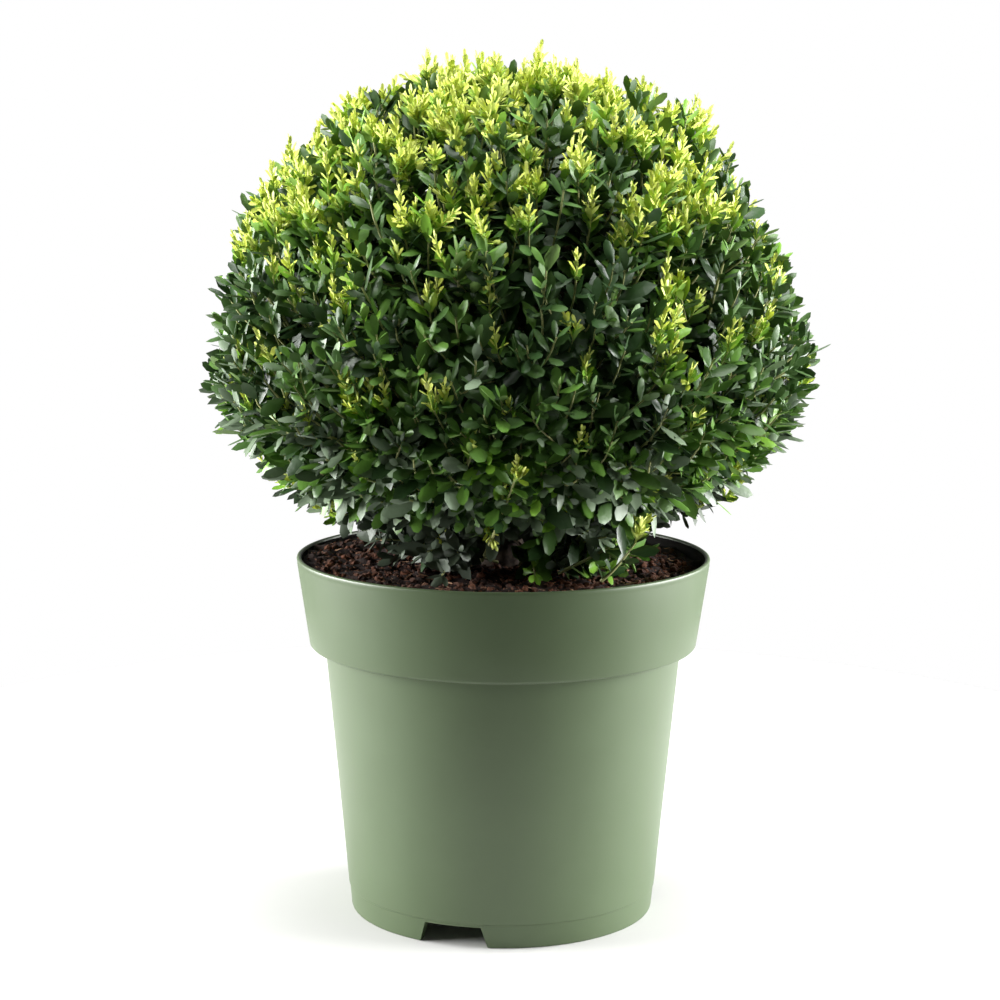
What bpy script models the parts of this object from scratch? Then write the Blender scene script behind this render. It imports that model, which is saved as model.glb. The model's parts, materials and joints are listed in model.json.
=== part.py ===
"""A clipped ball of Japanese holly, growing in a moulded nursery pot that is filled with potting mix.

Metres, +Z up, with -Y as the front. The origin is the middle of the pot's foot, on what the pot stands on.
"""

import math
import random

import bmesh
import bpy
from mathutils import Matrix, Vector

TITLE = "potted_holly_ball"
SEAT_GAP = 0.0003

# Pot: one moulded wall with a deep collar, a raised floor and a notched foot
POT_HEIGHT = 0.235
RIM_RADIUS = 0.135
COLLAR_HEIGHT = 0.0585
COLLAR_FOOT_RADIUS = 0.1268
BODY_TOP_RADIUS = 0.1164
FOOT_RADIUS = 0.1002
WALL = 0.0020
LIP_WIDTH = 0.0032
LIP_HEIGHT = 0.0030
CORNER = 0.0018
FOOT_LINE_HEIGHT = 0.0153
FOOT_LINE_STEP = 0.0005
FOOT_RING_WIDTH = 0.0080
FLOOR_HEIGHT = 0.0140
TURN_STEPS = 40
NOTCH_COUNT = 3
NOTCH_TURN = math.radians(-18.1)
NOTCH_FOOT_WIDTH = 0.0467
NOTCH_TOP_WIDTH = 0.0371
DRAIN_COUNT = 6
DRAIN_RADIUS = 0.0055
DRAIN_CIRCLE = 0.062
DRAIN_STEPS = 12

# Potting mix
SOIL_TOP = 0.2250
SOIL_LUMP = 0.0022
SOIL_FLAT_RADIUS = 0.028
SOIL_RINGS = 5

# Crown: a clipped ball above the pot, its underside flatter than its top
CROWN_CENTRE = Vector((0.0022, 0.0, 0.3560))
CROWN_RADIUS = 0.2005
CROWN_RISE = 0.2020
CROWN_DROP = 0.1210
CROWN_SQUARENESS = 2.15
FOOT_SPREAD = 0.1080
FOOT_TOP = 0.2700
LOWEST_LEAF = SOIL_TOP + 0.0045

# Masses of foliage: rings of sites round the middle of the ball, and low sprays at its foot
SITE_DISTANCE = 0.135
UPPER_COUNT = 5
UPPER_RISE = math.radians(33)
UPPER_TURN = math.radians(-90)
LOWER_COUNT = 6
LOWER_RISE = math.radians(-18)
LOWER_TURN = math.radians(-62)
LOW_SPRAYS = {
    "front_left": (math.radians(-126), 0.064, 0.2600),
    "front_right": (math.radians(-57), 0.076, 0.2500),
    "back_right": (math.radians(48), 0.066, 0.2580),
    "back_left": (math.radians(146), 0.068, 0.2560),
}
LOW_REACH = 0.048
LOW_STUB = 0.020
LOW_CORE_RADIUS = 0.028
LOW_CORE_RISE = 0.020
LOW_CORE_DETAIL = 2
BALL_CORE_DETAIL = 4
HEART_SHARE = 0.5
MASS_GAP = 0.0006
CORE_SHARE = 0.93
CORE_SET_BACK = 0.0080
CORE_UNEVENNESS = 0.115
CUT_SNAP = 0.0002

# Trunk and boughs
TRUNK_TOP = 0.3300
TRUNK_LEAN = Vector((0.006, 0.003, 0.0))
TRUNK_FLARE_RADIUS = 0.0185
TRUNK_FOOT_RADIUS = 0.0135
TRUNK_TOP_RADIUS = 0.0078
TRUNK_STATIONS = (0.0, 0.04, 0.1, 0.2, 0.43, 0.72, 1.0)
FLARE_FADE = 11
TRUNK_ROUNDNESS = 4
BOUGH_ROUNDNESS = 1
BOUGH_ROOT_RADIUS = 0.0046
BOUGH_TIP_RADIUS = 0.0030
LEADER_THICKNESS = 1.5
LOWER_BOUGH_HEIGHT = 0.2680
UPPER_BOUGH_HEIGHT = 0.3040
BOUGH_STAGGER = 0.0130
BOUGH_POINTS = 6
BOUGH_SAG = 0.06
BOUGH_FIRST_PULL = 0.35
BOUGH_LAST_PULL = 0.4
BOUGH_END = 0.0030
LIMB_CLEARANCE = 0.0020

# Twigs and leaves
BALL_TWIGS = 114
BALL_TWIG_BOTTOM = -0.75
LOW_TWIGS = 5
LOW_TWIG_TOP = 0.35
LOW_TWIG_BOTTOM = -0.75
TWIG_ROOT_RADIUS = 0.0019
TWIG_TIP_RADIUS = 0.0011
LEAVES_ON_TWIG = 2
LEAVES_ON_LOW_TWIG = 3
TIP_LEAF_CHANCE = 0.5
LEAF_TRIES = 9
LEAF_SPACING = 0.0040
LEAF_LENGTH = 0.033
LEAF_WIDTH = 0.0185
LEAF_THICKNESS = 0.0010
LEAF_WIDEST = 0.58
TIP_LEAF_SHARE = 0.7
FIRST_SPLAY = math.radians(52)
LAST_SPLAY = math.radians(66)
LEAF_ROOT_DEPTH = 0.0012
LEAF_REACH = 1.0
OUTLINE_SLACK = 1.006
SEED = 41
STEM_SIDES = 8
GOLDEN_ANGLE = math.pi * (3 - math.sqrt(5))

POT_GREEN = (0.235, 0.330, 0.215, 1.0)
MIX_BROWN = (0.055, 0.030, 0.020, 1.0)
BARK_GREY = (0.190, 0.155, 0.115, 1.0)
LEAF_GREEN = (0.040, 0.120, 0.030, 1.0)


def clear_scene():
    """Removes every object, so that the script starts from nothing."""
    for thing in list(bpy.data.objects):
        bpy.data.objects.remove(thing, do_unlink=True)


def new_collection(name):
    """A collection under the scene's own."""
    made = bpy.data.collections.new(name)
    bpy.context.scene.collection.children.link(made)
    return made


def material(name, colour, roughness):
    """A plain finish: one colour and one roughness."""
    made = bpy.data.materials.new(name)
    made.use_nodes = True
    shader = made.node_tree.nodes["Principled BSDF"]
    shader.inputs["Base Color"].default_value = colour
    shader.inputs["Roughness"].default_value = roughness
    shader.inputs["Metallic"].default_value = 0.0
    return made


def object_from(name, mesh, collection):
    """An object that shows a mesh, in a collection."""
    made = bpy.data.objects.new(name, mesh)
    collection.objects.link(made)
    return made


def mesh_from(name, shape):
    """A mesh from a bmesh, which is freed."""
    mesh = bpy.data.meshes.new(name)
    shape.to_mesh(mesh)
    shape.free()
    return mesh


def frozen(thing):
    """Replaces an object's mesh by its evaluated one, and takes its modifiers off."""
    graph = bpy.context.evaluated_depsgraph_get()
    graph.update()
    made = bpy.data.meshes.new_from_object(thing.evaluated_get(graph))
    thing.modifiers.clear()
    thing.data = made
    return thing


def combine(thing, cutters, operation="DIFFERENCE"):
    """Applies one Boolean with a whole collection of cutters, which are then removed."""
    joiner = thing.modifiers.new("boolean", "BOOLEAN")
    joiner.operation = operation
    joiner.operand_type = "COLLECTION"
    joiner.collection = cutters
    joiner.solver = "EXACT"
    frozen(thing)
    for cutter in list(cutters.objects):
        bpy.data.objects.remove(cutter, do_unlink=True)
    return thing


def as_cutter(thing):
    """Marks an object as a cutter, which the build leaves out."""
    thing.hide_render = True
    thing.display_type = "WIRE"
    return thing


# Pot


def wall_radius(height):
    """The outer radius of the pot's tapered body at a height."""
    share = height / (POT_HEIGHT - COLLAR_HEIGHT)
    return FOOT_RADIUS + (BODY_TOP_RADIUS - FOOT_RADIUS) * share


def pot_profile():
    """The pot's section as (radius, z): out under the floor, up outside, over the lip and down inside."""
    ledge = POT_HEIGHT - COLLAR_HEIGHT
    ring = wall_radius(0) - FOOT_RING_WIDTH
    floor_top = FLOOR_HEIGHT + WALL
    outside = [
        (0.0, FLOOR_HEIGHT),
        (ring, FLOOR_HEIGHT),
        (ring, 0.0),
        (FOOT_RADIUS - FOOT_LINE_STEP, 0.0),
        (wall_radius(FOOT_LINE_HEIGHT) - FOOT_LINE_STEP, FOOT_LINE_HEIGHT),
        (wall_radius(FOOT_LINE_HEIGHT), FOOT_LINE_HEIGHT + FOOT_LINE_STEP),
        (BODY_TOP_RADIUS, ledge),
        (COLLAR_FOOT_RADIUS - CORNER, ledge),
        (COLLAR_FOOT_RADIUS, ledge + CORNER),
        (RIM_RADIUS, POT_HEIGHT - LIP_HEIGHT / 2),
    ]
    lip = [
        (RIM_RADIUS - LIP_WIDTH / 4, POT_HEIGHT),
        (RIM_RADIUS - LIP_WIDTH * 3 / 4, POT_HEIGHT),
        (RIM_RADIUS - LIP_WIDTH, POT_HEIGHT - LIP_HEIGHT),
    ]
    inside = [
        (RIM_RADIUS - LIP_WIDTH / 2 - WALL, POT_HEIGHT - LIP_HEIGHT * 2),
        (COLLAR_FOOT_RADIUS - WALL, ledge + CORNER + WALL),
        (BODY_TOP_RADIUS - WALL, ledge + WALL),
        (wall_radius(floor_top) - WALL, floor_top),
        (0.0, floor_top),
    ]
    return outside + lip + inside


def turned(name, profile, collection):
    """A solid of revolution about +Z, from a section that starts and ends on the axis."""
    shape = bmesh.new()
    ring = [shape.verts.new((radius, 0.0, height)) for radius, height in profile]
    for first, second in zip(ring, ring[1:]):
        shape.edges.new((first, second))
    made = object_from(name, mesh_from(name, shape), collection)
    screw = made.modifiers.new("turn", "SCREW")
    screw.axis = "Z"
    screw.angle = math.tau
    screw.steps = TURN_STEPS
    screw.render_steps = TURN_STEPS
    screw.use_merge_vertices = True
    screw.merge_threshold = 0.00005
    frozen(made)
    outward(made)
    return made


def outward(thing):
    """Turns every face of a closed mesh to point out."""
    shape = bmesh.new()
    shape.from_mesh(thing.data)
    bmesh.ops.recalc_face_normals(shape, faces=shape.faces)
    if shape.calc_volume(signed=True) < 0:
        bmesh.ops.reverse_faces(shape, faces=shape.faces)
    shape.to_mesh(thing.data)
    shape.free()


def notch_cutter(turn, collection):
    """A block with sloping sides that cuts one drain notch through the foot ring, up to the raised floor."""
    depth = FOOT_RING_WIDTH * 3
    spread = (NOTCH_FOOT_WIDTH - NOTCH_TOP_WIDTH) * WALL / FLOOR_HEIGHT
    shape = bmesh.new()
    bmesh.ops.create_cube(shape, size=1.0)
    for corner in shape.verts:
        below = corner.co.z < 0
        corner.co.x *= NOTCH_FOOT_WIDTH + spread if below else NOTCH_TOP_WIDTH
        corner.co.y = corner.co.y * depth - FOOT_RADIUS + FOOT_RING_WIDTH / 2
        corner.co.z = -WALL if below else FLOOR_HEIGHT - SEAT_GAP
    bmesh.ops.rotate(shape, verts=shape.verts, matrix=Matrix.Rotation(turn, 3, "Z"))
    return as_cutter(object_from("notch_cutter", mesh_from("notch", shape), collection))


def drain_cutter(turn, collection):
    """A drill for one drain hole in the floor."""
    shape = bmesh.new()
    middle = Vector((DRAIN_CIRCLE * math.cos(turn), DRAIN_CIRCLE * math.sin(turn), FLOOR_HEIGHT))
    bmesh.ops.create_cone(
        shape,
        cap_ends=True,
        segments=DRAIN_STEPS,
        radius1=DRAIN_RADIUS,
        radius2=DRAIN_RADIUS,
        depth=WALL * 6,
        matrix=Matrix.Translation(middle),
    )
    return as_cutter(object_from("drain_cutter", mesh_from("drain", shape), collection))


def build_pot(collection, cutters):
    """The pot: turned wall, three notches in its foot and six drain holes in its floor."""
    pot = turned("pot", pot_profile(), collection)
    for index in range(NOTCH_COUNT):
        notch_cutter(NOTCH_TURN + math.tau * index / NOTCH_COUNT, cutters)
    for index in range(DRAIN_COUNT):
        drain_cutter(NOTCH_TURN + math.tau * index / DRAIN_COUNT, cutters)
    combine(pot, cutters)
    pot.data.materials.clear()
    pot.data.materials.append(material("pot_plastic", POT_GREEN, 0.45))
    pot.data.shade_smooth()
    pot.data.set_sharp_from_angle(angle=math.radians(30))
    return pot


def soil_height(x, y):
    """The height of the potting mix: level round the trunk, with low lumps further out."""
    reach = math.hypot(x, y)
    fade = min(1.0, max(0.0, (reach - SOIL_FLAT_RADIUS) / SOIL_FLAT_RADIUS))
    lumps = math.sin(x * 71 + 1.1) * math.cos(y * 63 + 0.4) + math.sin(x * 38 - y * 47 + 2.0)
    return SOIL_TOP + SOIL_LUMP * 0.5 * fade * lumps


def build_soil(collection):
    """The potting mix: a plug that fills the pot to a little under its rim, with an uneven top."""
    floor_top = FLOOR_HEIGHT + WALL + SEAT_GAP
    ledge = POT_HEIGHT - COLLAR_HEIGHT + WALL + SEAT_GAP
    slope = (RIM_RADIUS - LIP_WIDTH / 2 - COLLAR_FOOT_RADIUS) / (COLLAR_HEIGHT - 2 * LIP_HEIGHT)
    edge = COLLAR_FOOT_RADIUS + slope * (SOIL_TOP - ledge) - WALL - 3 * SEAT_GAP
    side = [
        (0.0, floor_top),
        (wall_radius(floor_top) - WALL - SEAT_GAP, floor_top),
        (BODY_TOP_RADIUS - WALL - 2 * SEAT_GAP, ledge),
        (COLLAR_FOOT_RADIUS - WALL - 3 * SEAT_GAP, ledge + CORNER + SEAT_GAP),
        (edge, SOIL_TOP),
    ]
    top = [(edge * (1 - step / SOIL_RINGS), SOIL_TOP) for step in range(1, SOIL_RINGS + 1)]
    soil = turned("potting_mix", side + top, collection)
    for point in soil.data.vertices:
        reach = math.hypot(point.co.x, point.co.y)
        if point.co.z > SOIL_TOP - SEAT_GAP and reach < edge - WALL:
            point.co.z = soil_height(point.co.x, point.co.y)
    soil.data.materials.append(material("potting_mix", MIX_BROWN, 0.95))
    return soil


# Crown: sites, cells and the outline of the ball


def ball_share(point):
    """How far out a point lies in the ball: 0 at its middle, 1 on its clipped outline."""
    away = point - CROWN_CENTRE
    level = math.hypot(away.x, away.y) / CROWN_RADIUS
    upright = abs(away.z) / (CROWN_RISE if away.z > 0 else CROWN_DROP)
    power = CROWN_SQUARENESS if away.z > 0 else 2.0
    return (level**power + upright**power) ** (1 / power)


def in_foot(point):
    """Whether a point lies in the low foliage between the ball and the potting mix, clear of the rim."""
    return LOWEST_LEAF <= point.z <= FOOT_TOP and math.hypot(point.x, point.y) <= FOOT_SPREAD


class Site:
    """One mass of foliage: its middle, the point of the trunk's line that feeds it, and its name."""

    def __init__(self, name, centre, heart, low=False):
        self.name = name
        self.centre = centre
        self.heart = heart
        self.low = low
        self.away = (centre - heart).normalized()
        self.door = heart + self.away * (centre - heart).length * HEART_SHARE


def ring_sites(label, count, rise, turn, heart_height):
    """The sites of one ring round the ball."""
    made = []
    for index in range(count):
        angle = turn + math.tau * index / count
        level = math.cos(rise)
        out = Vector((math.cos(angle) * level, math.sin(angle) * level, math.sin(rise)))
        centre = CROWN_CENTRE + out * SITE_DISTANCE
        made.append(Site(f"{label}_{index + 1}", centre, trunk_line(heart_height)))
    return made


def low_sites():
    """The sites of the low sprays round the trunk's foot."""
    made = []
    for place, (angle, distance, height) in LOW_SPRAYS.items():
        centre = Vector((math.cos(angle) * distance, math.sin(angle) * distance, height))
        made.append(Site(f"low_{place}", centre, trunk_line(height), low=True))
    return made


def all_sites():
    """Every mass of the plant, from the top down."""
    top = Site("foliage_top", CROWN_CENTRE + Vector((0, 0, SITE_DISTANCE)), trunk_line(TRUNK_TOP))
    upper_heart = UPPER_BOUGH_HEIGHT + BOUGH_STAGGER
    lower_heart = LOWER_BOUGH_HEIGHT + BOUGH_STAGGER
    upper = ring_sites("foliage_upper", UPPER_COUNT, UPPER_RISE, UPPER_TURN, upper_heart)
    lower = ring_sites("foliage_lower", LOWER_COUNT, LOWER_RISE, LOWER_TURN, lower_heart)
    return [top] + upper + lower + low_sites()


def cell_walls(site, sites):
    """A mass's flat walls, as (point, outward way): half way to each other site, and at its door."""
    walls = []
    for other in sites:
        if other is not site:
            way = (other.centre - site.centre).normalized()
            walls.append(((other.centre + site.centre) / 2 - way * MASS_GAP / 2, way))
    return walls + [(site.door, -site.away)]


def in_space(site, walls, point):
    """Whether a leaf or twig may stand at a point: inside its mass's walls and the plant's outline."""
    inside = ball_share(point) <= OUTLINE_SLACK or (site.low and in_foot(point))
    return inside and point.z >= LOWEST_LEAF and all((point - foot).dot(way) < 0 for foot, way in walls)


# Trunk and boughs


def trunk_line(height):
    """The trunk's middle at a height, along its slight lean."""
    share = (height - SOIL_TOP) / (TRUNK_TOP - SOIL_TOP)
    return Vector((0, 0, height)) + TRUNK_LEAN * share * share


def trunk_radius(height):
    """The trunk's radius at a height: a root flare that dies away, then an even taper."""
    share = (height - SOIL_TOP) / (TRUNK_TOP - SOIL_TOP)
    flare = (TRUNK_FLARE_RADIUS - TRUNK_FOOT_RADIUS) * math.exp(-share * FLARE_FADE)
    return TRUNK_FOOT_RADIUS + (TRUNK_TOP_RADIUS - TRUNK_FOOT_RADIUS) * share + flare


def limb(name, points, radii, roundness, collection):
    """A tapering limb: a curve with a radius at each point, made a closed mesh."""
    curve = bpy.data.curves.new(name, "CURVE")
    curve.dimensions = "3D"
    curve.bevel_depth = 1.0
    curve.bevel_resolution = roundness
    curve.use_fill_caps = True
    line = curve.splines.new("POLY")
    line.points.add(len(points) - 1)
    for knot, place, radius in zip(line.points, points, radii):
        knot.co = (*place, 1.0)
        knot.radius = radius
    drawn = object_from(f"{name}_line", curve, collection)
    graph = bpy.context.evaluated_depsgraph_get()
    mesh = bpy.data.meshes.new_from_object(drawn.evaluated_get(graph))
    made = object_from(name, mesh, collection)
    made.matrix_world = drawn.matrix_world
    bpy.data.objects.remove(drawn, do_unlink=True)
    shape = bmesh.new()
    shape.from_mesh(made.data)
    bmesh.ops.remove_doubles(shape, verts=shape.verts, dist=0.00005)
    shape.to_mesh(made.data)
    shape.free()
    outward(made)
    return made


def trunk_shape(name, swell, collection):
    """The trunk, or a copy of it that is swollen by a gap, for cutting what meets it."""
    foot = SOIL_TOP + SEAT_GAP
    points = [trunk_line(foot + (TRUNK_TOP - foot) * share) for share in TRUNK_STATIONS]
    points[0] -= Vector((0, 0, swell))
    points[-1] += Vector((0, 0, swell))
    radii = [trunk_radius(point.z) + swell for point in points]
    return limb(name, points, radii, TRUNK_ROUNDNESS, collection)


def bough_path(site, root):
    """A bough's middle line: out from the trunk, then bending so that it meets its mass's stem end to end."""
    tip = site.door - site.away * SEAT_GAP
    span = (tip - root).length
    first_pull = root + (tip - root) * BOUGH_FIRST_PULL - Vector((0, 0, BOUGH_SAG * span))
    last_pull = tip - site.away * span * BOUGH_LAST_PULL
    path = []
    for step in range(BOUGH_POINTS - 1):
        share = step / (BOUGH_POINTS - 1)
        rest = 1 - share
        near = root * rest**3 + first_pull * 3 * rest**2 * share
        path.append(near + last_pull * 3 * rest * share**2 + tip * share**3)
    return path + [tip - site.away * BOUGH_END, tip]


def bough_root(index, site):
    """Where a bough leaves the trunk's middle line: high and low by turns, to keep a ring's roots apart."""
    if site.name == "foliage_top":
        return trunk_line(TRUNK_TOP - BOUGH_END)
    base = UPPER_BOUGH_HEIGHT if "upper" in site.name else LOWER_BOUGH_HEIGHT
    return trunk_line(base + BOUGH_STAGGER * (index % 2))


def build_limbs(sites, collection, cutters, bark):
    """The trunk and one bough for each mass of the ball. The low sprays come straight from the trunk."""
    trunk = trunk_shape("trunk", 0.0, collection)
    trunk.data.materials.append(bark)
    paths = {}
    for index, site in enumerate(sites):
        if site.low:
            continue
        path = bough_path(site, bough_root(index, site))
        thick = BOUGH_ROOT_RADIUS * (LEADER_THICKNESS if site.name == "foliage_top" else 1.0)
        taper = (BOUGH_TIP_RADIUS - thick) / (len(path) - 1)
        radii = [thick + taper * step for step in range(len(path))]
        bough = limb(site.name.replace("foliage", "bough"), path, radii, BOUGH_ROUNDNESS, collection)
        as_cutter(trunk_shape("trunk_cutter", SEAT_GAP, cutters))
        combine(bough, cutters)
        keep_largest(bough)
        bough.data.materials.clear()
        bough.data.materials.append(bark)
        paths[site.name] = list(zip(path, radii))
    return paths


def clear_of_limbs(point, paths):
    """Whether a point keeps its distance from the trunk and every bough."""
    from_trunk = (point - trunk_line(point.z)).length
    if point.z < TRUNK_TOP and from_trunk < trunk_radius(point.z) + LIMB_CLEARANCE:
        return False
    for path in paths.values():
        for (first, radius), (second, _) in zip(path, path[1:]):
            along = second - first
            share = min(1.0, max(0.0, (point - first).dot(along) / along.length_squared))
            if (point - first - along * share).length < radius + LIMB_CLEARANCE:
                return False
    return True


# Foliage


def facing(start, end):
    """A frame with its origin at start and its +Z towards end."""
    turn = (end - start).to_track_quat("Z", "Y").to_matrix().to_4x4()
    return Matrix.Translation(start) @ turn


def add_twig(name, start, end, collection, thick=TWIG_ROOT_RADIUS, thin=TWIG_TIP_RADIUS, sides=3):
    """A tapered twig with a few flat sides, from start to end."""
    shape = bmesh.new()
    length = (end - start).length
    bmesh.ops.create_cone(
        shape,
        cap_ends=True,
        segments=sides,
        radius1=thick,
        radius2=thin,
        depth=length,
        matrix=facing(start, end) @ Matrix.Translation((0, 0, length / 2)),
    )
    return object_from(name, mesh_from(name, shape), collection)


def leaf_shape(root, way, face, share=1.0):
    """One leaf of eight faces: a blade, widest past its middle, from its root, way, upper side and size."""
    shape = bmesh.new()
    bmesh.ops.create_uvsphere(shape, u_segments=4, v_segments=2, radius=0.5)
    side = way.cross(face).normalized()
    upper = side.cross(way).normalized()
    for corner in shape.verts:
        across, through, along = corner.co
        at_end = round(along + 0.5)
        length = at_end if abs(along) > abs(across) + abs(through) else LEAF_WIDEST
        blade = (way * length * LEAF_LENGTH + side * across * LEAF_WIDTH) * share
        corner.co = root + blade + upper * through * LEAF_THICKNESS
    return shape


def spray_leaves(start, end, count, chance):
    """The leaves that a twig may have: a small one at its tip, then others behind it by the golden angle."""
    along = (end - start).normalized()
    side = along.orthogonal().normalized()
    turn = chance.uniform(0, math.tau)
    if chance.random() < TIP_LEAF_CHANCE:
        yield leaf_shape(end - along * LEAF_ROOT_DEPTH * 2, along, side, TIP_LEAF_SHARE)
    for index in range(LEAF_TRIES):
        turn += GOLDEN_ANGLE
        out = Matrix.Rotation(turn, 3, along) @ side
        splay = chance.uniform(FIRST_SPLAY, LAST_SPLAY)
        way = (along * math.cos(splay) + out * math.sin(splay)).normalized()
        root = end - along * LEAF_SPACING * (1 + index % count) - way * LEAF_ROOT_DEPTH
        yield leaf_shape(root, way, along)


def grow_twig(site, walls, start, end, paths, chance, collection):
    """A twig with the first few of its leaves that keep to their mass's space and off the limbs."""
    add_twig("twig", start, end, collection)
    count = LEAVES_ON_LOW_TWIG if site.low else LEAVES_ON_TWIG
    kept = 0
    for shape in spray_leaves(start, end, count, chance):
        corners = [corner.co for corner in shape.verts]
        fits = all(in_space(site, walls, corner) and clear_of_limbs(corner, paths) for corner in corners)
        if fits and kept < count:
            outward(object_from("leaf", mesh_from("leaf", shape), collection))
            kept += 1
        else:
            shape.free()
    return kept


def uneven_ball(centre, size, subdivisions, chance):
    """A ball with three radii and an uneven surface, like clipped foliage."""
    shape = bmesh.new()
    bmesh.ops.create_icosphere(shape, subdivisions=subdivisions, radius=1.0)
    for corner in shape.verts:
        way = corner.co * (1 - chance.uniform(0, CORE_UNEVENNESS))
        corner.co = centre + Vector((way.x * size.x, way.y * size.y, way.z * size.z))
    return shape


def cut_to_walls(shape, walls):
    """Cuts a closed shape down to what is inside flat walls, and closes each cut with a face."""
    for foot, way in walls:
        geometry = shape.verts[:] + shape.edges[:] + shape.faces[:]
        bmesh.ops.bisect_plane(
            shape,
            geom=geometry,
            dist=CUT_SNAP,
            plane_co=foot,
            plane_no=way,
            clear_outer=True,
        )
        rim = [edge for edge in shape.edges if edge.is_boundary]
        if rim:
            bmesh.ops.holes_fill(shape, edges=rim)


def low_core(site, walls, paths):
    """The dense inside of a low spray: a small uneven ball, drawn in where its walls or a limb come near."""
    size = Vector((LOW_CORE_RADIUS, LOW_CORE_RADIUS, LOW_CORE_RISE))
    shape = uneven_ball(site.centre, size, LOW_CORE_DETAIL, random.Random(SEED))
    for corner in shape.verts:
        while not (in_space(site, walls, corner.co) and clear_of_limbs(corner.co, paths)):
            corner.co = corner.co.lerp(site.centre, 0.1)
    return shape


def outline_spot(way, share):
    """The point that lies a given share of the way out to the ball's outline, in one direction."""
    drop = CROWN_RISE if way.z > 0 else CROWN_DROP
    away = Vector((way.x * CROWN_RADIUS, way.y * CROWN_RADIUS, way.z * drop))
    return CROWN_CENTRE + away * share / ball_share(CROWN_CENTRE + away)


def ball_core(site, walls):
    """The dense inside of a mass of the ball: the uneven ball under all the leaves, cut to its walls."""
    shape = uneven_ball(Vector(), Vector((1, 1, 1)), BALL_CORE_DETAIL, random.Random(SEED))
    for corner in shape.verts:
        corner.co = outline_spot(corner.co, CORE_SHARE * corner.co.length)
    inner_wall = (site.door + site.away * CORE_SET_BACK, -site.away)
    cut_to_walls(shape, walls + [inner_wall])
    return shape


def golden_way(index, count, top, bottom):
    """One of a number of directions spread evenly over a band of a sphere, from the top down."""
    height = top + (bottom - top) * (index + 0.5) / count
    level = math.sqrt(1 - height * height)
    turn = index * GOLDEN_ANGLE
    return Vector((level * math.cos(turn), level * math.sin(turn), height))


def ball_spots():
    """Where twigs reach the ball's clipped outline, less its hidden foot."""
    for index in range(BALL_TWIGS):
        spot = outline_spot(golden_way(index, BALL_TWIGS, 1.0, BALL_TWIG_BOTTOM), LEAF_REACH)
        if not in_foot(spot):
            yield spot


def low_spots(site, walls, paths):
    """Where the twigs of a low spray end: as far each way as its space, the limbs and its own reach allow."""
    for index in range(LOW_TWIGS):
        way = golden_way(index, LOW_TWIGS, LOW_TWIG_TOP, LOW_TWIG_BOTTOM)
        reach = LOW_STUB
        spot = site.centre + way * reach
        while reach < LOW_REACH and in_space(site, walls, spot) and clear_of_limbs(spot, paths):
            reach += LEAF_ROOT_DEPTH
            spot = site.centre + way * reach
        if reach > LOW_STUB + LEAF_ROOT_DEPTH:
            yield spot - way * LEAF_ROOT_DEPTH


def nearest_site(sites, point):
    """The mass whose site is nearest to a point."""
    return min(sites, key=lambda site: (site.centre - point).length)


def grow_mass(site, walls, spots, paths, leaf, collection, bench):
    """A mass of foliage: its core, its stem, and twigs from the stem's end to the spots, with leaves."""
    chance = random.Random(f"{SEED} {site.name}")
    core = low_core(site, walls, paths) if site.low else ball_core(site, walls)
    mass = object_from(site.name, mesh_from(site.name, core), collection)
    outward(mass)
    stem_foot = trunk_line(site.centre.z) if site.low else site.door
    add_twig("stem", stem_foot, site.centre, bench, BOUGH_TIP_RADIUS, TWIG_ROOT_RADIUS, sides=STEM_SIDES)
    leaves = 0
    for spot in spots:
        way = (spot - site.centre).normalized()
        end = spot - way * (LEAF_LENGTH * TIP_LEAF_SHARE - 2 * LEAF_ROOT_DEPTH)
        leaves += grow_twig(site, walls, site.centre, end, paths, chance, bench)
    combine(mass, bench, "UNION")
    if site.low:
        as_cutter(trunk_shape("trunk_cutter", SEAT_GAP, bench))
        combine(mass, bench)
    keep_largest(mass)
    mass.data.materials.clear()
    mass.data.materials.append(leaf)
    return leaves


def keep_largest(thing):
    """Drops loose scraps and the skins of sealed hollows, so that one closed skin is left."""
    shape = bmesh.new()
    shape.from_mesh(thing.data)
    shape.faces.ensure_lookup_table()
    seen, skins = set(), []
    for face in shape.faces:
        if face in seen:
            continue
        seen.add(face)
        skin, front = [], [face]
        while front:
            here = front.pop()
            skin.append(here)
            for edge in here.edges:
                for other in edge.link_faces:
                    if other not in seen:
                        seen.add(other)
                        front.append(other)
        skins.append(skin)
    skins.sort(key=len, reverse=True)
    spare = [face for skin in skins[1:] for face in skin]
    bmesh.ops.delete(shape, geom=spare, context="FACES")
    loose = [corner for corner in shape.verts if not corner.link_faces]
    bmesh.ops.delete(shape, geom=loose, context="VERTS")
    shape.to_mesh(thing.data)
    shape.free()


def main():
    """Builds the pot, the potting mix, the limbs and every mass of foliage."""
    clear_scene()
    parts = new_collection(TITLE)
    bench = new_collection("bench")
    build_pot(parts, bench)
    build_soil(parts)
    sites = all_sites()
    bark = material("bark", BARK_GREY, 0.85)
    leaf = material("holly_leaf", LEAF_GREEN, 0.40)
    paths = build_limbs(sites, parts, bench, bark)
    ball = list(ball_spots())
    total = 0
    for site in sites:
        walls = cell_walls(site, sites)
        if site.low:
            spots = low_spots(site, walls, paths)
        else:
            spots = [spot for spot in ball if nearest_site(sites, spot) is site]
        total += grow_mass(site, walls, spots, paths, leaf, parts, bench)
    bpy.data.collections.remove(bench)
    print(f"{len(sites)} masses, {total} leaves")


main()
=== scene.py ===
"""Looks of a clipped ball of Japanese holly in a moulded nursery pot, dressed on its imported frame.

Metres, +Z up, with -Y as the front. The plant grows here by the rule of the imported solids: masses of
foliage round the trunk, each on its own bough. The rule is carried on to finer branches, shoots and leaves.
"""

import json
import logging
import math
import random
from dataclasses import dataclass, field
from enum import Enum, IntEnum
from typing import Any, Iterable, Iterator, Sequence

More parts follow.
